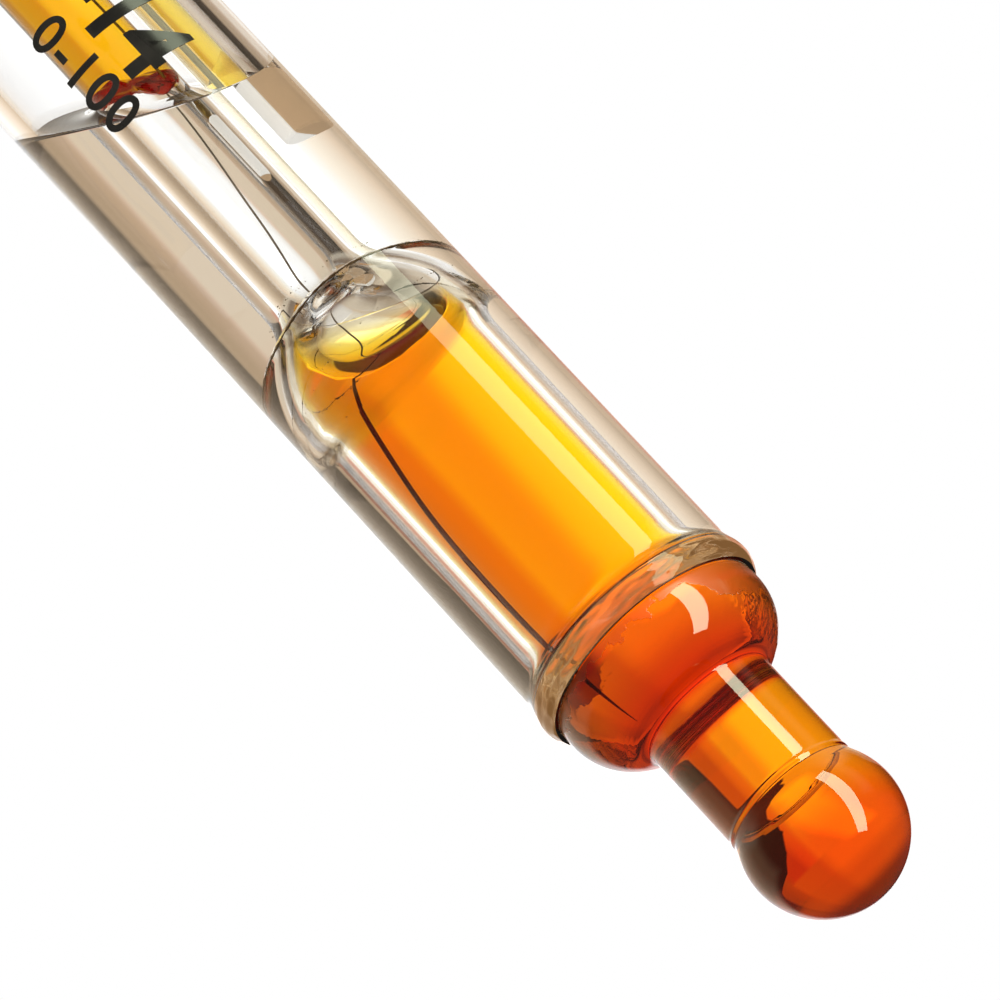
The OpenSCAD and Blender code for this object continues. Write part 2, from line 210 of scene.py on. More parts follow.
def guarded(profile):
    """Adds a ring close to each end of a long straight run, so that its shading stays straight."""
    profile = [np.asarray(p, float) for p in profile]
    out = []
    for a, b in zip(profile, profile[1:] + profile[:1]):
        out.append(a)
        length = np.hypot(*(b - a))
        if length > LONG_RUN:
            guard = (b - a) * GUARD / length
            out += [a + guard, b - guard]
    return out


def wall_line(line, low, high, tolerance=0.0015):
    z = np.append(np.arange(low, high, LINE_STEP), high)
    return [tuple(p) for p in needed(np.column_stack([line(z), z]), tolerance)]


def arc(mid, centre, radius, start, stop, steps):
    turns = np.radians(np.linspace(start, stop, steps + 1))
    return [(mid + radius * math.cos(a), centre + radius * math.sin(a)) for a in turns]


# Meshes from rings of points


def ring_angles(count=SIDES):
    return np.linspace(0, 2 * math.pi, count, endpoint=False)


def polar(r, angles, z):
    """Points round the axis, at one height or each at its own."""
    return np.column_stack([r * np.cos(angles), r * np.sin(angles), np.full(len(angles), z)])


def unit(ways):
    return ways / np.linalg.norm(ways, axis=1)[:, None]


def along_wall(wall, angles, start, stop, shares):
    """Rings on a wall, from one edge line to another."""
    rings = []
    for share in shares:
        z = start + (stop - start) * share
        rings.append(polar(wall(z), angles, z))
    return rings


def round_ring(r, z, x=0.0, count=SIDES):
    """Level ring, or a single point where it has no width."""
    if r < 1e-6:
        return np.array([[x, 0.0, z]])
    return polar(r, ring_angles(count), z) + [x, 0.0, 0.0]


def ring_mesh(rings, closed=False):
    starts = np.cumsum([0] + [len(ring) for ring in rings])
    pairs = [(i, i + 1) for i in range(len(rings) - 1)]
    if closed:
        pairs.append((len(rings) - 1, 0))
    faces, bands = [], []
    for band, (a, b) in enumerate(pairs):
        size_a, size_b = len(rings[a]), len(rings[b])
        count = max(size_a, size_b)
        if count == 1:
            continue
        for i in range(count):
            j = (i + 1) % count
            loop = [starts[a] + i % size_a, starts[a] + j % size_a,
                    starts[b] + j % size_b, starts[b] + i % size_b]
            faces.append([int(v) for v in dict.fromkeys(loop)])
            bands.append(band)
    return np.concatenate(rings), faces, bands


def turned(profile, x=0.0, count=SIDES, closed=True):
    return ring_mesh([round_ring(r, z, x, count) for r, z in profile], closed)


def finish_mesh(mesh, sharp):
    work = bmesh.new()
    work.from_mesh(mesh)
    bmesh.ops.recalc_face_normals(work, faces=work.faces)
    work.to_mesh(mesh)
    work.free()
    mesh.polygons.foreach_set("use_smooth", [True] * len(mesh.polygons))
    mesh.set_sharp_from_angle(angle=math.radians(sharp))


def placed(name, data):
    obj = bpy.data.objects.new(name, data)
    bpy.context.scene.collection.objects.link(obj)
    return obj


def piece(name, shape, body, materials, replaced=(), finish_of=None, sharp=35):
    """One named piece of the electrode, in millimetres, riding on a body of the frame."""
    points, faces, bands = shape
    mesh = bpy.data.meshes.new(name)
    mesh.from_pydata((np.asarray(points) * MM).tolist(), [], faces)
    obj = placed(name, mesh)
    for material in materials:
        mesh.materials.append(material)
    if finish_of:
        index = {band: materials.index(finish_of(band)) for band in set(bands)}
        mesh.polygons.foreach_set("material_index", [index[band] for band in bands])
    finish_mesh(mesh, sharp)
    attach(obj, body)
    if replaced:
        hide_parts(*replaced)
    return obj


# Shader helpers and the effects that several finishes share


class Value:
    """A number or colour in a node tree, reckoned with like a plain one."""

    def __init__(self, tree, socket):
        self.tree = tree
        self.socket = socket

    def __add__(self, other):
        return reckoned(self.tree, "ADD", self, other)

    def __sub__(self, other):
        return reckoned(self.tree, "SUBTRACT", self, other)

    def __rsub__(self, other):
        return reckoned(self.tree, "SUBTRACT", other, self)

    def __mul__(self, other):
        return reckoned(self.tree, "MULTIPLY", self, other)

    def spread(self, low, high, to_low=0.0, to_high=1.0, smooth=True):
        """Carries one span of values over to another."""
        spans = {"Value": self, "From Min": low, "From Max": high, "To Min": to_low, "To Max": to_high}
        easing = "SMOOTHSTEP" if smooth else "LINEAR"
        node = put(self.tree, "ShaderNodeMapRange", spans, interpolation_type=easing)
        return Value(self.tree, node.outputs["Result"])

    def between(self, low, low_full, high_full, high):
        """One inside a span of values, easing to zero at both ends."""
        return self.spread(low, low_full) * self.spread(high_full, high, 1.0, 0.0)

    def mix(self, a, b):
        """Colour that goes from one to another as the value goes from zero to one."""
        node = put(self.tree, "ShaderNodeMix", {0: self, 6: a, 7: b}, data_type="RGBA")
        return Value(self.tree, node.outputs[2])


def feed(node, inputs):
    """Links or sets each of the inputs named."""
    for name, value in dict(inputs).items():
        socket = node.inputs[name]
        if isinstance(value, Value):
            value.tree.links.new(value.socket, socket)
        else:
            socket.default_value = (*value, 1) if socket.type == "RGBA" else value


def put(tree, kind, inputs=(), **settings):
    """Adds a node with its settings and with what goes into it."""
    node = tree.nodes.new(kind)
    for name, value in settings.items():
        setattr(node, name, value)
    feed(node, inputs)
    return node


def outputs(tree, node):
    return {socket.name: Value(tree, socket) for socket in node.outputs}


def reckoned(tree, operation, *values):
    node = put(tree, "ShaderNodeMath", enumerate(values), operation=operation)
    return Value(tree, node.outputs[0])


def place_of(tree, kind, scale=1.0):
    """Coordinates of one kind, by axis."""
    place = outputs(tree, put(tree, "ShaderNodeTexCoord"))[kind]
    scaled = put(tree, "ShaderNodeMapping", {"Vector": place, "Scale": (scale, scale, scale)})
    return outputs(tree, put(tree, "ShaderNodeSeparateXYZ", {"Vector": Value(tree, scaled.outputs[0])}))


def own_place(tree):
    """The piece's own coordinates by axis, in millimetres."""
    return place_of(tree, "Object", 1 / MM)


def cloudy(tree, scale, detail=3.0, stretch=(1, 1, 1), seed=0.0):
    """Noise over the piece's own coordinates, in metres."""
    place = outputs(tree, put(tree, "ShaderNodeTexCoord"))["Object"]
    turn = put(tree, "ShaderNodeMapping", {"Vector": place, "Scale": stretch, "Location": (seed, seed, seed)})
    grown = {"Vector": Value(tree, turn.outputs[0]), "Scale": scale, "Detail": detail}
    return outputs(tree, put(tree, "ShaderNodeTexNoise", grown))["Fac"]


FLOAT = "NodeSocketFloat"
COLOR = "NodeSocketColor"


def new_effect(name, inputs, results):
    """Starts a shared effect: its tree, its inputs by name and the node that takes its results."""
    group = bpy.data.node_groups.new(name, "ShaderNodeTree")
    for label, kind, value in inputs:
        group.interface.new_socket(label, in_out="INPUT", socket_type=kind).default_value = value
    for label, kind in results:
        group.interface.new_socket(label, in_out="OUTPUT", socket_type=kind)
    return group, outputs(group, put(group, "NodeGroupInput")), put(group, "NodeGroupOutput")


def make_grain():
    """Fine surface grain: a height for bump and a roughness that wanders round its base."""
    group, given, result = new_effect(
        "surface_grain",
        [("Scale", FLOAT, 900.0), ("Roughness", FLOAT, 0.4), ("Wander", FLOAT, 0.1)],
        [("Height", FLOAT), ("Roughness", FLOAT)])
    fine = cloudy(group, given["Scale"], 4.0)
    broad = cloudy(group, given["Scale"] * 0.12, 2.0, seed=0.3)
    rough = (fine + broad - 1.0) * given["Wander"] + given["Roughness"]
    feed(result, {"Height": fine * 0.7 + broad, "Roughness": rough})
    return group


def make_edge_wear():
    """Colour that pales along worn edges."""
    group, given, result = new_effect(
        "edge_wear",
        [("Color", COLOR, (0.1, 0.1, 0.1, 1)), ("Worn", COLOR, (0.3, 0.3, 0.3, 1)), ("Amount", FLOAT, 0.5)],
        [("Color", COLOR)])
    edge = outputs(group, put(group, "ShaderNodeNewGeometry"))["Pointiness"].spread(0.52, 0.62)
    patchy = cloudy(group, 600.0).spread(0.35, 0.65, 0.2, 1.0)
    share = edge * patchy * given["Amount"]
    feed(result, {"Color": share.mix(given["Color"], given["Worn"])})
    return group


def make_colour_drift():
    """Two close tones in soft clouds."""
    group, given, result = new_effect(
        "colour_drift",
        [("Color", COLOR, (1, 1, 1, 1)), ("Other", COLOR, (1, 1, 1, 1)), ("Scale", FLOAT, 150.0)],
        [("Color", COLOR)])
    share = cloudy(group, given["Scale"]).spread(0.3, 0.7)
    feed(result, {"Color": share.mix(given["Color"], given["Other"])})
    return group


def make_draw_lines():
    """Faint lines along drawn glass, as a height."""
    group, given, result = new_effect("draw_lines", [("Scale", FLOAT, 700.0)], [("Height", FLOAT)])
    feed(result, {"Height": cloudy(group, given["Scale"], 2.0, stretch=(1, 1, 0.02))})
    return group


GRAIN = make_grain()
EDGE_WEAR = make_edge_wear()
COLOUR_DRIFT = make_colour_drift()
DRAW_LINES = make_draw_lines()


def effect(tree, group, **inputs):
    """Adds a shared effect, and gives its results by name."""
    return outputs(tree, put(tree, "ShaderNodeGroup", inputs, node_tree=group))


def new_finish(name):
    material = bpy.data.materials.new(name)
    material.use_nodes = True
    return material, *nodes_of(material)


def nodes_of(material):
    tree = material.node_tree
    return tree, tree.nodes["Principled BSDF"]


def tone_of(tree, shader):
    """The colour that a finish has so far."""
    return Value(tree, shader.inputs["Base Color"].links[0].from_socket)


def raise_surface(tree, shader, height, strength, distance):
    raised = {"Height": height, "Strength": strength, "Distance": distance * MM}
    feed(shader, {"Normal": outputs(tree, put(tree, "ShaderNodeBump", raised))["Normal"]})


def solid_finish(name, color, other, worn, rough, grain=900.0, height=0.02, wear=0.5, metal=0.0,
                 wander=0.15):
    """Opaque finish with drifting colour, worn edges and grain."""
    material, tree, shader = new_finish(name)
    tone = effect(tree, COLOUR_DRIFT, Color=color, Other=other, Scale=260.0)["Color"]
    tone = effect(tree, EDGE_WEAR, Color=tone, Worn=worn, Amount=wear)["Color"]
    skin = effect(tree, GRAIN, Scale=grain, Roughness=rough, Wander=wander)
    feed(shader, {"Base Color": tone, "Roughness": skin["Roughness"], "Metallic": metal})
    raise_surface(tree, shader, skin["Height"], 0.5, height)
    return material


def clear_finish(name, color, other, ior, rough=0.0, lines=0.0006, mirror=1.0):
    """Clear finish with the faint colour drift and draw lines of real glass."""
    material, tree, shader = new_finish(name)
    tone = effect(tree, COLOUR_DRIFT, Color=color, Other=other, Scale=120.0)["Color"]
    feed(shader, {"Base Color": tone, "Roughness": rough, "IOR": ior, "Transmission Weight": 1.0,
                  "Specular Tint": (mirror, mirror, mirror)})
    raise_surface(tree, shader, effect(tree, DRAW_LINES, Scale=700.0)["Height"], 0.3, lines)
    return material, tree, shader


# Finishes

GLASS_IOR = 1.47
BULB_IOR = 1.5
WATER_IOR = 1.36
ORANGE_IOR = 1.34
GLASS_TONE = (0.997, 0.997, 0.994)
GLASS_OTHER = (0.988, 0.99, 0.984)
# Share of a face's mirroring that is left against a solution
WETTED_MIRROR = 0.05


def glass_finish():
    return clear_finish("clear_glass", GLASS_TONE, GLASS_OTHER, GLASS_IOR)[0]


def wetted_finish():
    """Glass face against a solution: it bends light as glass but hardly mirrors."""
    return clear_finish("wetted_glass", GLASS_TONE, GLASS_OTHER, GLASS_IOR, mirror=WETTED_MIRROR)[0]


def edge_shaded_finish():
    """Outside of the inner glass in the solution, with painted shade where it is seen along its face."""
    material, tree, shader = clear_finish(
        "edge_shaded_glass", GLASS_TONE, GLASS_OTHER, GLASS_IOR, mirror=WETTED_MIRROR)
    # Painted shade: dark brown where the face is seen edge-on
    edge = outputs(tree, put(tree, "ShaderNodeLayerWeight"))["Facing"].spread(0.66, 0.82)
    feed(shader, {"Base Color": edge.mix(tone_of(tree, shader), (0.14, 0.08, 0.045))})
    return material


def ground_finish():
    """Ground seat of the tube's mouth, full of sparkling scratches."""
    material, tree, shader = clear_finish(
        "ground_seat", (0.96, 0.78, 0.58), (0.9, 0.68, 0.45), GLASS_IOR, rough=0.02)
    scratches = cloudy(tree, 1500.0, 2.0, stretch=(0.25, 0.25, 1.6))
    raise_surface(tree, shader, scratches, 0.25, 0.012)
    return material


def rim_finish():
    """Beaded edge of the mouth, tinted like the ground seat behind it, with a painted warm glow."""
    material, tree, shader = clear_finish(
        "rim_glass", (1.0, 0.93, 0.82), (0.98, 0.88, 0.72), GLASS_IOR, rough=0.02)
    sparkle = cloudy(tree, 1600.0, 1.0, stretch=(0.3, 0.3, 1.0))
    raise_surface(tree, shader, sparkle, 1.0, 0.22)
    # Painted warm glow, which brightens the rim as light would
    feed(shader, {"Emission Color": (1.0, 0.47, 0.15), "Emission Strength": 0.21})
    return material


def cone_finish():
    """Outside of the cone, with what the solution left there as it dried, and a painted dark reflection."""
    material, tree, shader = clear_finish("filmed_glass", GLASS_TONE, GLASS_OTHER, GLASS_IOR, mirror=2.6)
    place = own_place(tree)
    depth = Z_MOUTH - place["Z"]
    ragged = cloudy(tree, 900.0, 6.0) - 0.5
    fade = (-0.03, 0.05)
    deeper = depth.between(1.0, 3.6, 3.85, 4.4)
    tone = deeper.mix(GLASS_TONE, (0.95, 0.1, 0.08))
    # Ragged film under the rim
    side = place["X"].spread(2.6, 4.9, 0.5, 2.0)
    film = (ragged * 2.6 + side - depth).spread(*fade)
    tone = film.mix(tone, (0.82, 0.6, 0.42))
    # Painted dark reflection at the front left, close under the rim
    dark_reflection = (ragged * 2.8 + 1.25 - depth).spread(*fade)
    dark_reflection *= place["X"].between(-4.9, -4.4, -2.6, -1.7) * place["Y"].spread(-0.6, 0.0, 1.0, 0.0)
    tone = dark_reflection.mix(tone, (0.12, 0.025, 0.015))
    # Wrinkles of dried solution at the right
    wrinkled = place["X"].spread(3.8, 4.5) * depth.between(0.6, 1.2, 3.4, 4.0)
    cells = cloudy(tree, 1300.0, 2.0, stretch=(1.0, 1.0, 0.6)) * wrinkled
    feed(shader, {"Base Color": tone, "Roughness": film * 0.35})
    raise_surface(tree, shader, film * 0.12 + cells, 1.0, 0.1)
    return material


def bulb_finish():
    """Thin sensing glass, which takes up the red of its solution below the joint."""
    material, tree, shader = clear_finish(
        "sensing_glass", (0.95, 0.22, 0.18), (0.94, 0.2, 0.16), BULB_IOR, mirror=2.2)
    higher = own_place(tree)["Z"].spread(Z_BULB - 1.6, Z_JOINT - 0.2)
    feed(shader, {"Base Color": higher.mix(tone_of(tree, shader), GLASS_TONE)})
    return material


ORANGE_DENSITY = 1700.0
ORANGE_PASSES = (0.9955, 0.87, 0.02)


def orange_finish():
    material, tree, _ = clear_finish("orange_solution", (1.0, 0.985, 0.96), (1.0, 0.97, 0.94), ORANGE_IOR,
                                     lines=0.0, mirror=WETTED_MIRROR)
    dye = put(tree, "ShaderNodeVolumeAbsorption", {"Color": ORANGE_PASSES, "Density": ORANGE_DENSITY})
    feed(tree.nodes["Material Output"], {"Volume": Value(tree, dye.outputs[0])})
    return material


def water_finish():
    return clear_finish("clear_solution", (0.998, 0.998, 0.996), (0.994, 0.994, 0.99), WATER_IOR,
                        lines=0.0, mirror=WETTED_MIRROR)[0]


def gel_finish():
    """Clear ring in the filling solution, a little denser than the solution round it."""
    return clear_finish("clear_gel", (0.985, 0.98, 0.97), (0.97, 0.96, 0.945), GLASS_IOR / WATER_IOR,
                        lines=0.0, mirror=0.3)[0]


def platinum_finish():
    """Drawn wire, with a painted red-black reflection where it lies in the solution of the chamber."""
    material = solid_finish("platinum", (0.3, 0.28, 0.25), (0.21, 0.19, 0.17), (0.5, 0.48, 0.44), 0.34,
                            grain=4000.0, height=0.004, metal=1.0)
    tree, shader = nodes_of(material)
    above_painted_red = own_place(tree)["Z"].spread(Z_SHOULDER - 0.6, Z_SHOULDER)
    # Painted reflection: dark red where the wire lies in the orange solution
    feed(shader, {"Base Color": above_painted_red.mix((0.16, 0.02, 0.012), tone_of(tree, shader))})
    return material


def frit_finish():
    """White porous plug, with painted shade down one side and a painted glow over all of it."""
    material = solid_finish("porous_ceramic", (0.92, 0.9, 0.85), (0.84, 0.81, 0.74), (0.97, 0.96, 0.93), 0.8,
                            grain=6000.0, height=0.05)
    tree, shader = nodes_of(material)
    # Painted shade: the side away from the light is darker tan
    shaded_side = own_place(tree)["X"].spread(REF_X - 0.3, REF_X - 0.2)
    tone = shaded_side.mix(tone_of(tree, shader), (0.5, 0.34, 0.2))
    # Painted glow: the plug's emission stands in for the light on it
    feed(shader, {"Base Color": tone, "Emission Color": tone, "Emission Strength": 0.8})
    return material


def ink_finish():
    return solid_finish("black_ink", (0.012, 0.011, 0.01), (0.02, 0.018, 0.016), (0.05, 0.045, 0.04), 0.16,
                        grain=2500.0, height=0.006, wear=0.3, wander=0.1)


def salt_finish():
    return solid_finish("dried_salt", (0.36, 0.2, 0.08), (0.65, 0.48, 0.28), (0.85, 0.7, 0.45), 0.25,
                        grain=5000.0, height=0.01)


def collar_finish():
    return solid_finish("collar_plastic", (0.055, 0.06, 0.07), (0.07, 0.075, 0.085), (0.2, 0.2, 0.21), 0.42,
                        grain=3000.0, height=0.012)


def cap_finish():
    return solid_finish("cap_plastic", (0.05, 0.054, 0.062), (0.065, 0.07, 0.08), (0.2, 0.2, 0.21), 0.38,
                        grain=3000.0, height=0.012)


def head_finish():
    return solid_finish("head_plastic", (0.24, 0.26, 0.29), (0.28, 0.3, 0.33), (0.42, 0.43, 0.45), 0.45)


def sleeve_finish():
    return solid_finish("sleeve_rubber", (0.1, 0.19, 0.31), (0.13, 0.23, 0.36), (0.27, 0.36, 0.47), 0.62,
                        grain=2200.0, height=0.03)


def seal_finish():
    return solid_finish("seal_rubber", (0.022, 0.022, 0.022), (0.03, 0.03, 0.03), (0.09, 0.09, 0.09), 0.5)


def gland_finish():
    return solid_finish("gland_rubber", (0.026, 0.026, 0.027), (0.036, 0.036, 0.037), (0.12, 0.12, 0.12), 0.6,
                        grain=2200.0, height=0.03)


def steel_finish():
    return solid_finish("spring_steel", (0.56, 0.57, 0.59), (0.48, 0.49, 0.51), (0.75, 0.76, 0.78), 0.28,
                        grain=3500.0, height=0.006, metal=1.0)


def cement_finish():
    return solid_finish("cement", (0.72, 0.68, 0.58), (0.62, 0.58, 0.48), (0.85, 0.82, 0.74), 0.85,
                        grain=2600.0, height=0.05)


def resin_finish():
    return solid_finish("resin", (0.45, 0.33, 0.16), (0.36, 0.25, 0.11), (0.6, 0.48, 0.28), 0.22)


def signal_finish():
    return solid_finish("signal_insulation", (0.62, 0.07, 0.05), (0.54, 0.05, 0.04), (0.8, 0.3, 0.26), 0.4)


def reference_finish():
    return solid_finish("reference_insulation", (0.07, 0.14, 0.5), (0.05, 0.11, 0.42), (0.28, 0.36, 0.7), 0.4)


GLASS = glass_finish()
WETTED = wetted_finish()
EDGE_SHADED = edge_shaded_finish()
GROUND = ground_finish()
RIM = rim_finish()
FILMED = cone_finish()
BULB = bulb_finish()
ORANGE = orange_finish()
WATER = water_finish()
GEL = gel_finish()
PLATINUM = platinum_finish()
FRIT = frit_finish()
INK = ink_finish()
SALT = salt_finish()
STEEL = steel_finish()
COLLAR = collar_finish()
SLEEVE = sleeve_finish()
CAP = cap_finish()
GLAND = gland_finish()


# Glass pieces


def outer_tube():
    z = np.linspace(Z_RIM + RIM_FLARE, Z_RIM, 17)
    flare = [(TUBE_R + RIM_PROUD * float(smooth_step((Z_RIM + RIM_FLARE - h) / RIM_FLARE)), h) for h in z]
    rim_mid = TUBE_R + RIM_PROUD - RIM_R
    bead = arc(rim_mid, Z_RIM, RIM_R, 0, -math.degrees(math.asin((Z_RIM - Z_MOUTH) / RIM_R)), 14)
    seat_r = CONE_R + SEAT_GAP
    seat_from = math.degrees(math.asin((Z_MOUTH - Z_CONE) / seat_r))
    seat_to = math.degrees(math.acos((BORE_R - CONE_MID) / seat_r))
    seat = arc(CONE_MID, Z_CONE, seat_r, seat_from, seat_to, 12)
    profile = [(GROUND_R, Z_TUBE_TOP), (GROUND_R, 0.0), (TUBE_R, 0.0)] + flare + bead[1:] + seat
    profile = guarded(profile + [(BORE_R, Z_TUBE_TOP)])
    seat_top = seat[-1][1]

    def finish_of(band):
        (r_a, z_a), (r_b, z_b) = profile[band], profile[(band + 1) % len(profile)]
        middle_r, middle_z = (r_a + r_b) / 2, (z_a + z_b) / 2
        if middle_z <= seat_top + 1e-6 and middle_r < SEAT_EDGE_R:
            return GROUND
        if middle_z < Z_RIM + RIM_BAND:
            return RIM
        return WETTED if abs(middle_r - BORE_R) < 1e-4 else GLASS

    return piece("glass_sleeve", turned(profile), "outer_body", [GLASS, WETTED, GROUND, RIM],
                 ["outer_tube"], finish_of)


LIP_TOP = Z_JOINT + 0.6
LIP_MID = Z_JOINT + 0.22
LIP_WIDTH = 0.1
LIP_PROUD = 0.06


def lip_ring(r, z):
    """Ring of the neck's end with the lip that fusing left round its front."""
    turns = ring_angles()
    lip = LIP_PROUD * bump(z, LIP_MID, LIP_WIDTH) * smooth_step(0.5 - np.sin(turns))
    return polar(r + lip, turns, z)


def inner_glass():
    lip = [(float(outside(z)), z) for z in np.linspace(Z_JOINT, LIP_TOP, 25)]
    outer = lip[:-1] + wall_line(outside, LIP_TOP, Z_STRAIGHT)
    inner = wall_line(inside, Z_JOINT, Z_STRAIGHT)
    profile = guarded(outer + [(STEM_R, Z_STEM_TOP), (STEM_BORE_R, Z_STEM_TOP)] + inner[::-1])
    line_end = max(i for i, (r, z) in enumerate(profile) if abs(r - STEM_R) < 1e-3)

    def finish_of(band):
        z = (profile[band][1] + profile[(band + 1) % len(profile)][1]) / 2
        if band <= line_end:
            return FILMED if z < Z_MOUTH else EDGE_SHADED
        return WETTED if z < Z_CHAMBER_TOP else GLASS

    ends = sum(z < LIP_TOP for r, z in profile[:line_end])
    rings = [lip_ring(r, z) for r, z in profile[:ends]]
    rings += [round_ring(r, z) for r, z in profile[ends:]]
    return piece("inner_glass", ring_mesh(rings, closed=True), "inner_body",
                 [GLASS, WETTED, FILMED, EDGE_SHADED], ["inner_chamber", "stem_tube"], finish_of)


def ball_arc(radius):
    """Arc of the bulb from its lowest point up to where its height line takes over."""
    return arc(0, Z_BULB, radius, -90, math.degrees(math.asin((Z_BALL - Z_BULB) / radius)), 60)


def bulb():
    skin = ball_arc(BULB_R) + wall_line(outside, Z_BALL, Z_JOINT)[1:]
    hollow = ball_arc(BULB_R - BULB_WALL) + wall_line(inside, Z_BALL, Z_JOINT)[1:]
    z_lap = Z_JOINT + 0.05
    lap = [(NECK_R - 0.1, z_lap), (NECK_R - GLASS_WALL + 0.08, z_lap)]
    shape = turned(skin + lap + hollow[::-1], closed=False)
    return piece("sensing_bulb_glass", shape, "inner_body", [BULB, WETTED],
                 ["sensing_bulb"], lambda band: WETTED if band > len(skin) else BULB)


# Solutions


def level(x, y, middle):
    return middle - SLOPE_X * x - SLOPE_Y * y


def contact(angles, r, middle, rise):
    """Heights at which a sloping surface meets a round wall, with its creep along it."""
    return level(r * np.cos(angles), r * np.sin(angles), middle) + rise


CREEP = 0.45
CREEP_LENGTH = 0.4
SURFACE_SHARES = (0.99, 0.97, 0.945, 0.91, 0.87, 0.82, 0.75, 0.65, 0.5, 0.33, 0.16)

# Air bubble in the shoulder: a round foot below a straight side, with a fillet where it meets the wall
BUBBLE_MID = np.array([1.1, -1.1, Z_SHOULDER + 2.55])
BUBBLE_R = 3.4
BUBBLE_FILLET = 0.9
BUBBLE_HEART = np.array([0.4, -0.4, Z_SHOULDER + 1.8])


def beyond_bubble(points):
    """Distance out of the round foot and straight side of the bubble."""
    off = points - BUBBLE_MID
    off[:, 2] = np.minimum(off[:, 2], 0)
    return np.linalg.norm(off, axis=1) - BUBBLE_R


def in_solution(points):
    """Above zero in the solution: the bubble's own form and the wall, joined by the fillet."""
    out = beyond_bubble(points)
    wall = np.hypot(points[:, 0], points[:, 1]) - inside(points[:, 2])
    blend = np.maximum(BUBBLE_FILLET - np.abs(out - wall), 0)
    return np.maximum(out, wall) + blend ** 2 / (4 * BUBBLE_FILLET)


def halved(low, high, below):
    """Value between two bounds at which a test stops holding."""
    for _ in range(40):
        mid = (low + high) / 2
        holds = below(mid)
        low = np.where(holds, mid, low)
        high = np.where(holds, high, mid)
    return (low + high) / 2


def bubble_edge(angles):
    """Height at which the bubble leaves the wall."""
    low = np.full(len(angles), Z_CHAMBER_TOP - 3.0)
    high = np.full(len(angles), Z_SEAM + 0.5)
    return halved(low, high, lambda z: beyond_bubble(polar(inside(z), angles, z)) > -BUBBLE_FILLET)


def bubble_ring(rim, share):
    """Ring of the bubble's surface, from its rim on the wall down to its lowest point."""
    ways = unit((1 - share) * unit(rim - BUBBLE_HEART) + share * np.array([0, 0, -1.0]))
    reach = halved(np.zeros(len(rim)), np.full(len(rim), 6.0),
                   lambda t: in_solution(BUBBLE_HEART + t[:, None] * ways) < 0)
    return BUBBLE_HEART + reach[:, None] * ways


BUBBLE_SHARES = (0.01, 0.03, 0.06, 0.1, 0.15, 0.2, 0.26, 0.32, 0.38, 0.45, 0.52, 0.6, 0.68, 0.76, 0.84, 0.92)


def orange_body():
    angles = ring_angles()
    rings = [round_ring(r, z) for r, z in ball_arc(BULB_R - BULB_WALL + LAP)]
    edge = bubble_edge(angles)
    base = edge.min() - 0.4
    wall = guarded(wall_line(inside, Z_BALL, base))[1:-1]
    rings += [round_ring(r + LAP, z) for r, z in wall]
    rings += along_wall(lambda z: inside(z) + LAP, angles, base, edge, np.linspace(0, 1, 25)[1:])
    rim = polar(inside(edge), angles, edge)
    rings += [bubble_ring(rim, share) for share in BUBBLE_SHARES]
    rings.append(bubble_ring(rim[:1], 1.0))
    return piece("orange_solution_body", ring_mesh(rings), "inner_body", [ORANGE],
                 ["inner_solution"], sharp=60)


def stem_column():
    angles = ring_angles(64)
    r = STEM_BORE_R + LAP
    edge = contact(angles, STEM_BORE_R, Z_STEM_LEVEL, -CREEP)
    edge = edge + 0.25 * np.sin(3 * angles + 0.8) + 0.12 * np.sin(7 * angles)
    rings = [round_ring(0, Z_COLUMN_TOP), polar(0.9 * r, angles, Z_COLUMN_TOP),
             polar(r, angles, Z_COLUMN_TOP - 0.2)]
    foot = edge.max() + 0.4
    rings += along_wall(lambda z: r, angles, foot, edge, np.linspace(0, 1, 9))
    rim = rings[-1]
    for share in SURFACE_SHARES:
        flat = share * rim
        away = (1 - share) * STEM_BORE_R
        ripple = 0.1 * share * np.sin(5 * angles + 9 * share)
        sink = (CREEP - 0.1) * np.exp(-away / CREEP_LENGTH)
        flat[:, 2] = (1 - share) * level(flat[:, 0], flat[:, 1], Z_STEM_LEVEL) + share * (rim[:, 2] + CREEP)
        flat[:, 2] += ripple - sink
        rings.append(flat)
    rings.append(round_ring(0, Z_STEM_LEVEL))
    return piece("stem_column", ring_mesh(rings), "inner_body", [ORANGE],
                 ["stem_solution"], sharp=60)


GEL_TOP = Z_SEAM - 2.05
GEL_FOOT = Z_SEAM - 3.9
GEL_TAPER = 2.2
GAP_SHARES = (0.03, 0.07, 0.13, 0.21, 0.32, 0.5, 0.68, 0.79, 0.87, 0.93, 0.97)


def across(inner_ring, outer_ring, shares, lift):
    """Free surface between two contact rings, drawn along the walls by its creep."""
    rings = []
    gap = np.hypot(*(outer_ring - inner_ring)[:, :2].T)
    for share in shares:
        ring = outer_ring + share * (inner_ring - outer_ring)
        wall = np.exp(-share * gap / CREEP_LENGTH) + np.exp(-(1 - share) * gap / CREEP_LENGTH)
        ring[:, 2] += lift * (wall - 1)
        rings.append(ring)
    return rings


def gel_roof(angles):
    """Contact lines of the clear ring round the shoulder, at its upper end."""
    outer = GEL_TOP - 0.6 * np.sin(angles) + 0.08 * np.sin(4 * angles + 1)
    inner = np.full(len(angles), Z_SEAM - 0.5) + 0.08 * np.sin(3 * angles)
    return outer, inner


def gel_floor(angles):
    """Where the ring leaves the tube's bore, and the end of its taper on the inner glass."""
    outer = GEL_FOOT + 0.5 * np.cos(angles) + 0.4 * np.sin(angles) + 0.1 * np.sin(3 * angles + 0.5)
    return outer, outer - GEL_TAPER


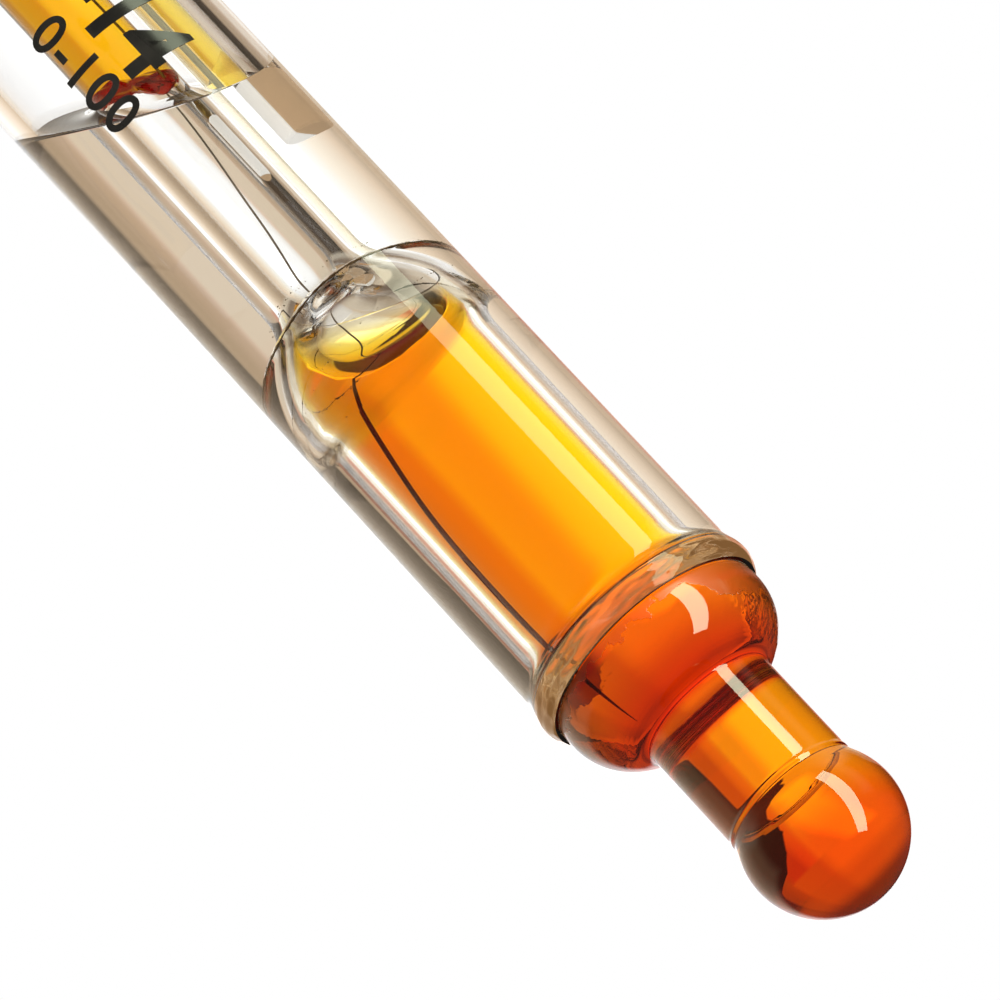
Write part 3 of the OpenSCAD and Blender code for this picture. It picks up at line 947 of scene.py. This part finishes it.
def filling_shape():
    angles = ring_angles()
    top_out = contact(angles, BORE_R, Z_FILL_LEVEL, CREEP)
    top_in = contact(angles, STEM_R, Z_FILL_LEVEL, CREEP)
    seat_r = CONE_R + SEAT_GAP + LAP
    seat_top = math.degrees(math.acos((BORE_R + LAP - CONE_MID) / seat_r))
    seat_foot = math.degrees(math.asin((Z_MOUTH + 0.05 - Z_CONE) / seat_r))
    seat = arc(CONE_MID, Z_CONE, seat_r, seat_top, seat_foot, 12)
    rings = along_wall(lambda z: BORE_R + LAP, angles, top_out, seat[0][1], (0, 0.02, 0.5, 0.995))
    rings += [round_ring(r, z) for r, z in seat]
    wall = wall_line(outside, seat[-1][1], Z_STRAIGHT)
    rings += [round_ring(r - LAP, z) for r, z in guarded(wall)[:-2]]
    rings += along_wall(lambda z: STEM_R - LAP, angles, Z_STRAIGHT, top_in, (0.1, 0.5, 0.97, 1))
    rings += across(rings[-1], rings[0], GAP_SHARES, CREEP)[::-1]
    return ring_mesh(rings, closed=True)


def shoulder_gel():
    """Clear ring that sits round the shoulder, in the filling solution."""
    angles = ring_angles()
    floor_out, floor_in = gel_floor(angles)
    roof_out, roof_in = gel_roof(angles)
    taper = []
    for share in np.linspace(1, 0, 25)[1:]:
        z = floor_out + (floor_in - floor_out) * share
        skin = outside(z) + LAP
        taper.append(polar(skin + (BORE_R - LAP - skin) * float(smooth_step(1 - share)), angles, z))
    side = along_wall(lambda z: BORE_R - LAP, angles, floor_out, roof_out, (0.1, 0.5, 0.9, 1))
    wall = along_wall(lambda z: outside(z) + 0.5 * LAP, angles, roof_in, floor_in, np.linspace(0, 1, 40))
    upper = across(wall[0], side[-1], GAP_SHARES, -0.1)
    shape = ring_mesh(taper + side + upper + wall, closed=True)
    return piece("shoulder_gel_ring", shape, "inner_body", [GEL], sharp=60)


def salt_grains():
    """Dried grains along the rim of the clear ring and round the foot of the stem."""
    dice = np.random.default_rng(11)
    count = 640
    turns = dice.uniform(0, 2 * math.pi, count)
    roof = gel_roof(turns)[0] + dice.normal(0, 0.05, count)
    low = gel_floor(turns)[0] + dice.normal(0, 0.07, count)
    foot = Z_SEAM + 0.35 + dice.normal(0, 0.12, count)
    kind = np.arange(count) % 10
    z = np.where(kind < 8, roof, np.where(kind < 9, low, foot))
    off_bore = dice.uniform(0.08, 0.16, count)
    off_stem = dice.uniform(0.05, 0.1, count)
    r = np.where(kind < 9, BORE_R - off_bore, outside(foot) + off_stem)
    spikes = np.array([(1, 0, 0), (0, 1, 0), (-1, 0, 0), (0, -1, 0), (0, 0, 1), (0, 0, -1)], float)
    points, faces = [], []
    for at, size in zip(polar(r, turns, z), dice.uniform(0.02, 0.055, count)):
        first = len(points)
        points += list(at + size * spikes * dice.uniform(0.5, 1.2, (6, 1)))
        for a in range(4):
            b = (a + 1) % 4
            faces += [(first + a, first + b, first + 4), (first + b, first + a, first + 5)]
    return piece("salt_grains", (np.array(points), faces, []), "inner_body", [SALT])


def salt_crust():
    """Thin dried line along the upper rim of the clear ring."""
    turns = ring_angles(720)
    line = gel_roof(turns)[0]
    sizes = 0.06 + 0.025 * np.sin(23 * turns) * np.sin(7 * turns + 1) + 0.012 * np.sin(61 * turns)
    sizes *= 0.2 + 0.8 * smooth_step(0.8 - np.sin(turns))
    rings = []
    for a in ring_angles(8):
        rings.append(polar(BORE_R - 0.13 + sizes * math.cos(a), turns, line + sizes * math.sin(a)))
    return piece("salt_crust", ring_mesh(rings, closed=True), "inner_body", [SALT])


def drilled(obj, x, r, z_low, z_high):
    """Opens a round hole along the axis's direction."""
    points, faces, _ = turned([(0, z_low), (r, z_low), (r, z_high), (0, z_high)], x, 48, closed=False)
    cut_out(obj, points, faces)


def cut_out(obj, points, faces):
    drill = bpy.data.meshes.new("drill")
    drill.from_pydata((points * MM).tolist(), [], faces)
    finish_mesh(drill, 35)
    tool = placed("drill", drill)
    cut = obj.modifiers.new("hole", "BOOLEAN")
    cut.operation = "DIFFERENCE"
    cut.solver = "EXACT"
    cut.object = tool
    mesh = settled(obj)
    obj.modifiers.clear()
    obj.data = mesh
    bpy.data.objects.remove(tool)


def settled(obj):
    """The mesh that a row of letters or a piece with modifiers comes to."""
    graph = bpy.context.evaluated_depsgraph_get()
    return bpy.data.meshes.new_from_object(obj.evaluated_get(graph))


def filling_body():
    obj = piece("filling_solution_body", filling_shape(), "inner_body", [WATER],
                ["filling_solution"], sharp=60)
    drilled(obj, REF_X, REF_R - LAP, Z_REF_END + LAP, Z_FILL_LEVEL + 8)
    return obj


# Wires and the reference half-cell


def eased_path(points, steps):
    """Smooth path through the points of a route."""
    points = np.asarray(points, float)
    last = len(points) - 1
    out = []
    for i in range(last):
        a, b, c, d = (points[max(0, min(last, i + k))] for k in (-1, 0, 1, 2))
        for u in np.arange(steps) / steps:
            out.append(0.5 * (2 * b + (c - a) * u + (2 * a - 5 * b + 4 * c - d) * u ** 2
                              + (3 * b - a - 3 * c + d) * u ** 3))
    return np.array(out + [points[-1]])


def headings(path):
    return unit(np.gradient(path, axis=0))


def swept(path, side, up, radii, count):
    """Round bar along a path, with its own thickness at each point."""
    a = ring_angles(count)
    rings = [path[:1]]
    for p, s, u, r in zip(path, side, up, radii):
        rings.append(p + r * (np.cos(a)[:, None] * s + np.sin(a)[:, None] * u))
    return ring_mesh(rings + [path[-1:]])


def drawn_wire(path, radii):
    ahead = headings(path)
    side = unit(np.cross(ahead, [0.0, 1.0, 0.0]))
    return swept(path, side, np.cross(side, ahead), radii, 12)


def wire_route():
    z_top = top_of("platinum_wire")
    bore = CHAMBER_R - GLASS_WALL
    stem = Z_STEM_TOP - Z_SEAM
    chamber = Z_CHAMBER_TOP - Z_MOUTH
    return [
        (0, 0, z_top),
        (0, 0, Z_SEAM + 0.8 * stem),
        (0.2 * STEM_BORE_R, 0, Z_SEAM + 0.55 * stem),
        (0.45 * STEM_BORE_R, 0, Z_SEAM + 0.32 * stem),
        (0.7 * STEM_BORE_R, 0, Z_SEAM + 0.14 * stem),
        (0.1 * STEM_BORE_R, 0, Z_SEAM + 0.05 * stem),
        (-0.35 * STEM_BORE_R, 0, Z_SEAM + 0.01 * stem),
        (-0.19 * bore, 0.1 * bore, Z_SHOULDER + 2.9),
        (-0.24 * bore, 0.15 * bore, Z_SHOULDER + 1.4),
        (-0.49 * bore, 0.15 * bore, Z_SHOULDER - 0.1),
        (-0.68 * bore, 0.1 * bore, Z_MOUTH + 0.85 * chamber),
        (-0.85 * bore, -0.3 * bore, Z_MOUTH + 0.57 * chamber),
        (-0.86 * bore, -0.3 * bore, Z_MOUTH + 0.2 * chamber),
        (-0.78 * bore, -0.3 * bore, Z_MOUTH - 1.6),
    ]


WIRE_R = 0.09


def platinum_wire():
    path = eased_path(wire_route(), 14)
    from_tip = np.arange(len(path))[::-1]
    radii = WIRE_R * np.clip(0.12 + from_tip / 9.0, 0.12, 1.0)
    radii *= 1 - 0.4 * smooth_step((path[:, 2] - Z_SHOULDER + 0.5) / 1.5)
    return piece("platinum_lead_wire", drawn_wire(path, radii), "inner_body", [PLATINUM],
                 ["platinum_wire"])


def reference_glass():
    z_end = top_of("reference_frit") - 0.12
    z_full = z_end + 0.15
    ease = 0.1
    tube = guarded([(REF_R, z_full), (REF_R, Z_REF_TOP), (REF_BORE_R, Z_REF_TOP), (REF_BORE_R, z_full),
                    (REF_BORE_R + ease, z_end), (REF_R - ease, z_end)])
    return piece("reference_glass", turned(tube, REF_X, 64), "inner_body", [GLASS],
                 ["reference_tube"])


def porous_plug():
    z_foot, z_top = span_of("reference_frit")
    fineness, depth, chamfer = 6.0, 0.03, 0.08
    rings = [round_ring(0, z_foot, REF_X)]
    for z in np.linspace(z_foot, z_top, 41):
        ring = round_ring(REF_R + LAP - chamfer * (z == z_foot), z, REF_X, 40)
        for p in ring:
            pit = abs(noise.noise(Vector(p) * fineness)) * depth
            p[0] -= pit * (p[0] - REF_X)
            p[1] -= pit * p[1]
        rings.append(ring)
    rings.append(round_ring(0, z_top, REF_X))
    return piece("porous_plug", ring_mesh(rings), "inner_body", [FRIT], ["reference_frit"])


def reference_column():
    z_low, z_high = span_of("reference_solution")
    r = REF_BORE_R + LAP
    column = guarded([(0, z_low), (0.55, z_low), (r, z_low + 0.3), (r, z_high), (0.4, z_high - 0.3),
                      (0, z_high - 0.35)])
    return piece("reference_column", turned(column[:-1], REF_X, 48, closed=False), "inner_body",
                 [ORANGE], ["reference_solution"])


def reference_wire():
    z_low, z_high = span_of("reference_wire")
    tip = [z_low, z_low + 0.05, z_low + 0.15]
    heights = np.concatenate([tip, np.linspace(z_low + 0.4, z_high, 40)])
    path = np.column_stack([np.full(len(heights), REF_X - 0.3), np.zeros(len(heights)), heights])
    radii = np.full(len(heights), 0.125)
    radii[:2] = (0.05, 0.1)
    return piece("reference_lead_wire", drawn_wire(path, radii), "inner_body", [PLATINUM],
                 ["reference_wire"])


# Collar, sleeve, cap and gland


def rounded(corners, radius, steps=5):
    """Profile through corners, each eased by a small round."""
    corners = [np.asarray(c, float) for c in corners]
    out = []
    for i, p in enumerate(corners):
        a, b = corners[i - 1] - p, corners[(i + 1) % len(corners)] - p
        reach = min(radius, 0.45 * np.hypot(*a), 0.45 * np.hypot(*b))
        start, stop = p + a / np.hypot(*a) * reach, p + b / np.hypot(*b) * reach
        for u in np.linspace(0, 1, steps):
            out.append((1 - u) ** 2 * start + 2 * u * (1 - u) * p + u * u * stop)
    return out


FLANGE_R = reach_of("collar")
FLANGE_H = 8.0
WAIST_R = 6.8
SOCKET_R = 6.25
Z_COLLAR_TOP = top_of("collar")
HOLE_R = 1.8
Z_HOLE = 10.7


def groove(r, z, depth, width):
    return [(r, z - width), (r - depth, z - width / 2), (r - depth, z + width / 2), (r, z + width)]


def collar():
    corners = [(SOCKET_R, Z_TUBE_TOP), (SOCKET_R, 0.4), (SOCKET_R + 0.4, 0.0), (FLANGE_R, 0.0)]
    inset, cut = 1.9, (0.22, 0.25)
    corners += groove(FLANGE_R, inset, *cut) + groove(FLANGE_R, FLANGE_H - inset, *cut)
    corners += [(FLANGE_R, FLANGE_H), (WAIST_R, FLANGE_H)]
    corners += groove(WAIST_R, Z_COLLAR_TOP - 3.6, 0.15, 0.2)
    corners += [(WAIST_R, Z_COLLAR_TOP), (BORE_R, Z_COLLAR_TOP), (BORE_R, Z_TUBE_TOP)]
    obj = piece("filling_collar", turned(rounded(corners, 0.25)), "outer_body", [COLLAR],
                ["collar"])
    hole = [(0, 0), (HOLE_R, 0), (HOLE_R, 6), (HOLE_R + 0.25, 6.6), (HOLE_R + 0.8, 7.2), (0, 7.2)]
    points, faces, _ = turned(hole, 0, 48, closed=False)
    points = np.column_stack([points[:, 2], points[:, 1], points[:, 0] + Z_HOLE])
    cut_out(obj, points, faces)
    return obj


def fill_sleeve():
    low, high = span_of("fill_sleeve")
    reach = reach_of("fill_sleeve")
    bore = WAIST_R + 0.05
    rim, dip, crest, ribs = 1.1, 0.3, 0.06, 5
    corners = [(bore, high), (bore, low), (reach, low), (reach, low + rim)]
    pitch = (high - low - 2 * rim) / ribs
    for i in range(ribs):
        z = low + rim + i * pitch
        corners += [(reach - dip, z + 0.12 * pitch), (reach - dip, z + 0.32 * pitch),
                    (reach - crest, z + 0.5 * pitch), (reach - crest, z + 0.8 * pitch)]
    corners += [(reach - dip, high - rim), (reach, high - 1.0), (reach, high)]
    return piece("rubber_fill_sleeve", turned(rounded(corners, 0.3)), "filling_cover",
                 [SLEEVE], ["fill_sleeve"], sharp=60)


CAP_R = 8.0
CAP_BORE_R = 7.1
Z_SKIRT, Z_CAP_TOP = span_of("cap")
Z_CEILING = Z_COLLAR_TOP + 13
FLUTES = 24
FLUTE_DEPTH = 0.35
FLUTE_FADE = 0.8
CROWN_R = 2


def cap():
    thread_r, gland_r, z_potting = 4.35, 4.05, Z_CEILING + 11
    corners = [(CAP_BORE_R, Z_CEILING), (CAP_BORE_R, Z_SKIRT), (CAP_R, Z_SKIRT)]
    corners += groove(CAP_R, Z_SKIRT + 2.2, 0.2, 0.25) + groove(CAP_R, Z_CEILING - 3.2, 0.25, 0.3)
    skirt = rounded(corners + [(CAP_R, Z_CEILING - 2.6)], 0.25)[5:-5]
    grip = [(CAP_R, z) for z in np.linspace(Z_CEILING - 2.4, Z_CAP_TOP - 2.6, 40)]
    crown = arc(CAP_R - CROWN_R, Z_CAP_TOP - CROWN_R, CROWN_R, 0, 90, 12)
    hollow = [(gland_r + 0.3, Z_CAP_TOP), (gland_r, Z_CAP_TOP - 0.3), (gland_r, z_potting),
              (thread_r, z_potting), (thread_r, Z_CEILING), (CAP_BORE_R, Z_CEILING)]
    a = ring_angles(FLUTES * 12)
    scallop = np.clip(np.cos(FLUTES * (a - math.pi / FLUTES)) * 1.4 - 0.3, 0, None) / 1.1
    z_low, z_high = Z_CEILING - 2.0, Z_CAP_TOP - 3.0
    rings = []
    for r, z in skirt + grip + crown + hollow:
        depth = 0.0
        if abs(r - CAP_R) < 1e-6:
            enter, leave = smooth_step((z - z_low) / FLUTE_FADE), smooth_step((z_high - z) / FLUTE_FADE)
            depth = FLUTE_DEPTH * float(enter * leave)
        rings.append(polar(r - depth * scallop, a, z))
    return piece("pressed_cap", ring_mesh(rings, closed=True), "inner_body", [CAP], ["cap"])


def gland():
    low, high = span_of("cable_gland")
    shaft, head, cable = 4.0, reach_of("cable_gland"), 2.5
    corners = [(cable, high - 0.5), (cable, low), (shaft, low), (shaft, Z_CAP_TOP), (head, Z_CAP_TOP)]
    corners += groove(head, Z_CAP_TOP + 1.3, 0.35, 0.25) + groove(head - 0.15, Z_CAP_TOP + 2.4, 0.35, 0.25)
    corners += [(head - 0.3, high), (cable + 0.5, high)]
    return piece("cable_gland_boot", turned(rounded(corners, 0.3)), "inner_body", [GLAND],
                 ["cable_gland"], sharp=60)


def spring():
    """Coil spring with closed end turns."""
    low, high = span_of("return_spring")
    wire_r, mid_r, turns, dead = 0.38, 5.7, 6.5, 0.9
    t = np.linspace(0, turns, int(turns * 32))
    rise = np.clip((t - dead) / (turns - 2 * dead), 0, 1)
    closed_rise = 2 * wire_r * 1.04
    start = np.minimum(t, dead) / dead
    stop = np.clip((t - turns + dead) / dead, 0, 1)
    inner = high - low - 2 * wire_r - 2 * closed_rise
    z = low + wire_r + closed_rise * start + inner * rise + closed_rise * stop
    path = np.column_stack([mid_r * np.cos(2 * math.pi * t), mid_r * np.sin(2 * math.pi * t), z])
    out = path * [1, 1, 0] / mid_r
    shape = swept(path, out, np.cross(out, headings(path)), np.full(len(path), wire_r), 14)
    obj = piece("cap_return_spring", shape, "outer_body", [STEEL], ["return_spring"])
    press = next(j for j in frame["joints"] if j["name"] == "cap_press")["range_m"][1] / MM
    (high - low - press) / (high - low)
    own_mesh(obj)
    return obj


def dress(node, finish):
    """Gives a solid of the frame its finish."""
    for holder in frame["nodes"][node].material_slots:
        holder.material = finish


def plain_fittings():
    seal = seal_finish()
    finishes = {
        "tube_cement": cement_finish(), "lower_washer": STEEL, "upper_washer": STEEL,
        "stem_head": head_finish(), "stem_plug": seal, "o_ring": seal, "cap_potting": resin_finish(),
        "signal_lead": signal_finish(), "reference_lead": reference_finish(),
    }
    for node, finish in finishes.items():
        dress(node, finish)


# Printed numbers on the tube

DIGIT_SHARE = 0.69
INK_DEPTH = 0.012
INK_GAP = 0.014
BEND_STEP = 0.18


def numbers(name, text, height, bold, z_start, turn, track=1.0):
    """A row of numbers that runs down the tube, with its tops to the right."""
    letters = bpy.data.curves.new(name, "FONT")
    letters.body = text
    letters.size = height / DIGIT_SHARE
    letters.offset = bold
    letters.space_character = track
    letters.extrude = INK_DEPTH
    letters.resolution_u = 6
    holder = placed(name, letters)
    mesh = settled(holder)
    bpy.data.objects.remove(holder)
    work = bmesh.new()
    work.from_mesh(mesh)
    bmesh.ops.remove_doubles(work, verts=work.verts, dist=1e-5)
    bmesh.ops.triangulate(work, faces=work.faces)
    for y in np.arange(-0.2, height + 0.2, BEND_STEP):
        geometry = work.verts[:] + work.edges[:] + work.faces[:]
        bmesh.ops.bisect_plane(work, geom=geometry, plane_co=(0, y, 0), plane_no=(0, 1, 0))
    points = np.array([v.co for v in work.verts])
    work.verts.index_update()
    faces = [[v.index for v in f.verts] for f in work.faces]
    work.free()
    angle = math.radians(turn) + points[:, 1] / TUBE_R
    r = TUBE_R + INK_GAP + points[:, 2]
    shape = np.column_stack([r * np.sin(angle), -r * np.cos(angle), z_start - points[:, 0]])
    return piece(name, (shape, faces, []), "outer_body", [INK])


def prints():
    numbers("range_numbers", "0-14", 3.5, 0.12, -48.0, 3.0)
    numbers("span_numbers", "0-100", 1.95, 0.045, -51.2, -21.0, 1.12)


# Camera and studio, in metres

PHOTO_TILT = math.radians(24)
PHOTO_ROLL = math.radians(42.77)
PHOTO_DISTANCE = 0.312
PHOTO_AIM = Vector((-0.526 * MM, 0, -83.07 * MM))
PHOTO_LENS = 241.5
SENSOR_WIDTH = 36


def camera():
    lens = bpy.data.cameras.new("camera")
    lens.lens = PHOTO_LENS
    lens.sensor_width = SENSOR_WIDTH
    lens.clip_start = 0.01
    obj = placed("camera", lens)
    across_x = Vector((1, 0, 0))
    upwards = Vector((0, -math.sin(PHOTO_TILT), math.cos(PHOTO_TILT)))
    ahead = Vector((0, math.cos(PHOTO_TILT), math.sin(PHOTO_TILT)))
    right = math.cos(PHOTO_ROLL) * across_x - math.sin(PHOTO_ROLL) * upwards
    up = math.sin(PHOTO_ROLL) * across_x + math.cos(PHOTO_ROLL) * upwards
    turn = Matrix((right, up, -ahead)).transposed().to_4x4()
    obj.matrix_world = Matrix.Translation(PHOTO_AIM - PHOTO_DISTANCE * ahead) @ turn
    bpy.context.scene.camera = obj


def lamp(name, place, target, size, power, shines=False, tone=(1, 1, 1)):
    light = bpy.data.lights.new(name, "AREA")
    light.shape = "RECTANGLE"
    light.size, light.size_y = size
    light.energy = power
    light.color = tone
    obj = placed(name, light)
    obj.location = place
    obj.rotation_euler = (Vector(target) - Vector(place)).to_track_quat("-Z", "Y").to_euler()
    obj.visible_glossy = shines
    obj.visible_transmission = False
    obj.visible_camera = False


def lamps():
    strip_turn, strip_away, strip_z = math.radians(57), 0.5, -0.13
    strip = Vector((strip_away * math.sin(strip_turn), -strip_away * math.cos(strip_turn), strip_z))
    lamp("strip_softbox", strip, (0, 0, strip_z), (0.17, 0.95), 2.6, True, (0.9, 1.0, 0.72))
    lamp("key_softbox", (-0.7, -0.8, 0.9), (0, 0, 0), (0.8, 0.8), 9.0)
    lamp("rim_softbox", (0.6, 0.9, 0.7), (0, 0, 0), (0.6, 0.6), 4.0)


WORLD_GAIN = 3.0


def gained(*color):
    return tuple(c / WORLD_GAIN for c in color)


def panorama_ramp(turn):
    """What the glass sees round the horizon, by the turn to the right of straight behind it."""
    ramp = put(turn.tree, "ShaderNodeValToRGB", {0: turn * (1 / 360) + 0.5})
    stops = ramp.color_ramp.elements
    white, cream, sand = (1.14, 1.14, 1.14), (1.12, 1.02, 0.86), (0.98, 0.79, 0.6)
    tan, umber, rust = (0.73, 0.57, 0.41), (0.42, 0.3, 0.19), (0.7, 0.28, 0.2)
    rose, coral, clay = (1.0, 0.62, 0.5), (0.95, 0.5, 0.38), (0.56, 0.4, 0.28)
    dusk, shade = (0.03, 0.022, 0.016), (0.06, 0.04, 0.026)
    views = [(-180, tan), (-110, umber), (-77, umber), (-53, tan), (-43, sand), (-30, cream), (-24, white),
             (7.9, white), (8.7, rose), (12, coral), (15.5, rust), (23, rust), (28, clay), (36, umber),
             (40, umber), (43.5, dusk), (58, shade), (80, shade), (110, tan)]
    while len(stops) < len(views):
        stops.new(0.5)
    for stop, (degrees, color) in zip(stops, views):
        stop.position = degrees / 360 + 0.5
        stop.color = (*gained(*color), 1)
    return Value(turn.tree, ramp.outputs[0])


def studio_view(turn, rise):
    """Panels of the studio as the glass bends them into view, in degrees."""
    view = panorama_ramp(turn)
    upper = rise.spread(25.0, 26.5) * turn.between(2, 12, 25, 29)
    view = upper.mix(view, gained(0.75, 0.62, 0.47))
    # Dark flag to the right, leaning outwards higher up
    lean = rise * 1.45 - 8.6
    lean += rise.spread(21.0, 24.0, 0.0, 11.4, smooth=False)
    lean += rise.between(7.5, 9.0, 10.5, 12.5) * -9.0
    flag = (turn - lean).spread(0.0, 1.5) * turn.spread(50.0, 60.0, 1.0, 0.0)
    view = flag.mix(view, gained(0.03, 0.025, 0.02))
    # Lamp panel, leaning the other way
    across_lamp = turn + rise * 0.8 - 11.2
    glow = across_lamp.between(-15, -6, 1, 8) * rise.between(11, 14, 26.5, 29)
    view = glow.mix(view, gained(1.95, 1.95, 1.95))
    # Dusk higher up
    view = rise.spread(31.0, 40.0, 0.0, 0.6).mix(view, gained(0.66, 0.58, 0.46))
    return rise.spread(43.0, 58.0, 0.0, 0.8).mix(view, gained(0.15, 0.1, 0.07))


def studio():
    world = bpy.data.worlds.new("studio")
    bpy.context.scene.world = world
    world.use_nodes = True
    tree = world.node_tree
    place = place_of(tree, "Generated")
    turn = reckoned(tree, "ARCTAN2", place["X"], place["Y"]) * math.degrees(1)
    rise = reckoned(tree, "ARCSINE", place["Z"]) * math.degrees(1)
    white = gained(1.0, 1.0, 1.0)
    table = rise.spread(-32.0, -25.0, 1.0, 0.0).mix(white, gained(0.06, 0.05, 0.04))
    view = rise.spread(-12.0, -4.0).mix(table, studio_view(turn, rise))
    path = outputs(tree, put(tree, "ShaderNodeLightPath"))
    # What the glass turns back from below and in front of the object
    turned_back = reckoned(tree, "GREATER_THAN", path["Glossy Depth"], 0.5)
    below = rise.spread(-31.0, -29.0).mix(gained(0.16, 0.11, 0.07), gained(0.13, 0.1, 0.08))
    view = (turned_back * rise.spread(-10.0, -6.0, 1.0, 0.0)).mix(view, below)
    # What shines on the outside from there is dim
    outside_shine = path["Is Glossy Ray"] * (1.0 - path["Is Transmission Ray"])
    nearer, lower = place["Y"].spread(-0.3, 0.1, 1.0, 0.0), rise.spread(-6.0, 4.0, 1.0, 0.0)
    front = reckoned(tree, "MAXIMUM", nearer, lower)
    view = (front * outside_shine).mix(view, gained(0.06, 0.055, 0.05))
    view = path["Is Diffuse Ray"].mix(view, gained(0.75, 0.75, 0.75))
    view = path["Is Camera Ray"].mix(view, white)
    feed(tree.nodes["Background"], {"Color": view, "Strength": WORLD_GAIN})


FLOOR_HALF = 3.0
Z_FLOOR = -0.25


def floor():
    material, tree, shader = new_finish("pale_floor")
    pale, paler = (0.84, 0.84, 0.835), (0.86, 0.86, 0.855)
    tone = effect(tree, COLOUR_DRIFT, Color=paler, Other=pale, Scale=6.0)
    feed(shader, {"Base Color": tone["Color"], "Roughness": 0.9})
    mesh = bpy.data.meshes.new("floor")
    corners = [(-1, -1), (1, -1), (1, 1), (-1, 1)]
    points = [(x * FLOOR_HALF, y * FLOOR_HALF, Z_FLOOR) for x, y in corners]
    mesh.from_pydata(points, [], [(0, 1, 2, 3)])
    mesh.materials.append(material)
    obj = placed("floor", mesh)
    obj.visible_transmission = False
    obj.visible_glossy = False


def light_paths():
    scene = bpy.context.scene
    scene.view_settings.view_transform = "Standard"
    through_glass = 48
    scene.cycles.max_bounces = through_glass
    scene.cycles.transmission_bounces = through_glass
    scene.cycles.glossy_bounces = 12
    scene.cycles.transparent_max_bounces = 16


camera()
lamps()
studio()
floor()
light_paths()

outer_tube()
inner_glass()
bulb()
orange_body()
stem_column()
filling_body()
shoulder_gel()
salt_grains()
salt_crust()
platinum_wire()
reference_glass()
porous_plug()
reference_column()
reference_wire()
collar()
fill_sleeve()
cap()
gland()
spring()
plain_fittings()
prints()
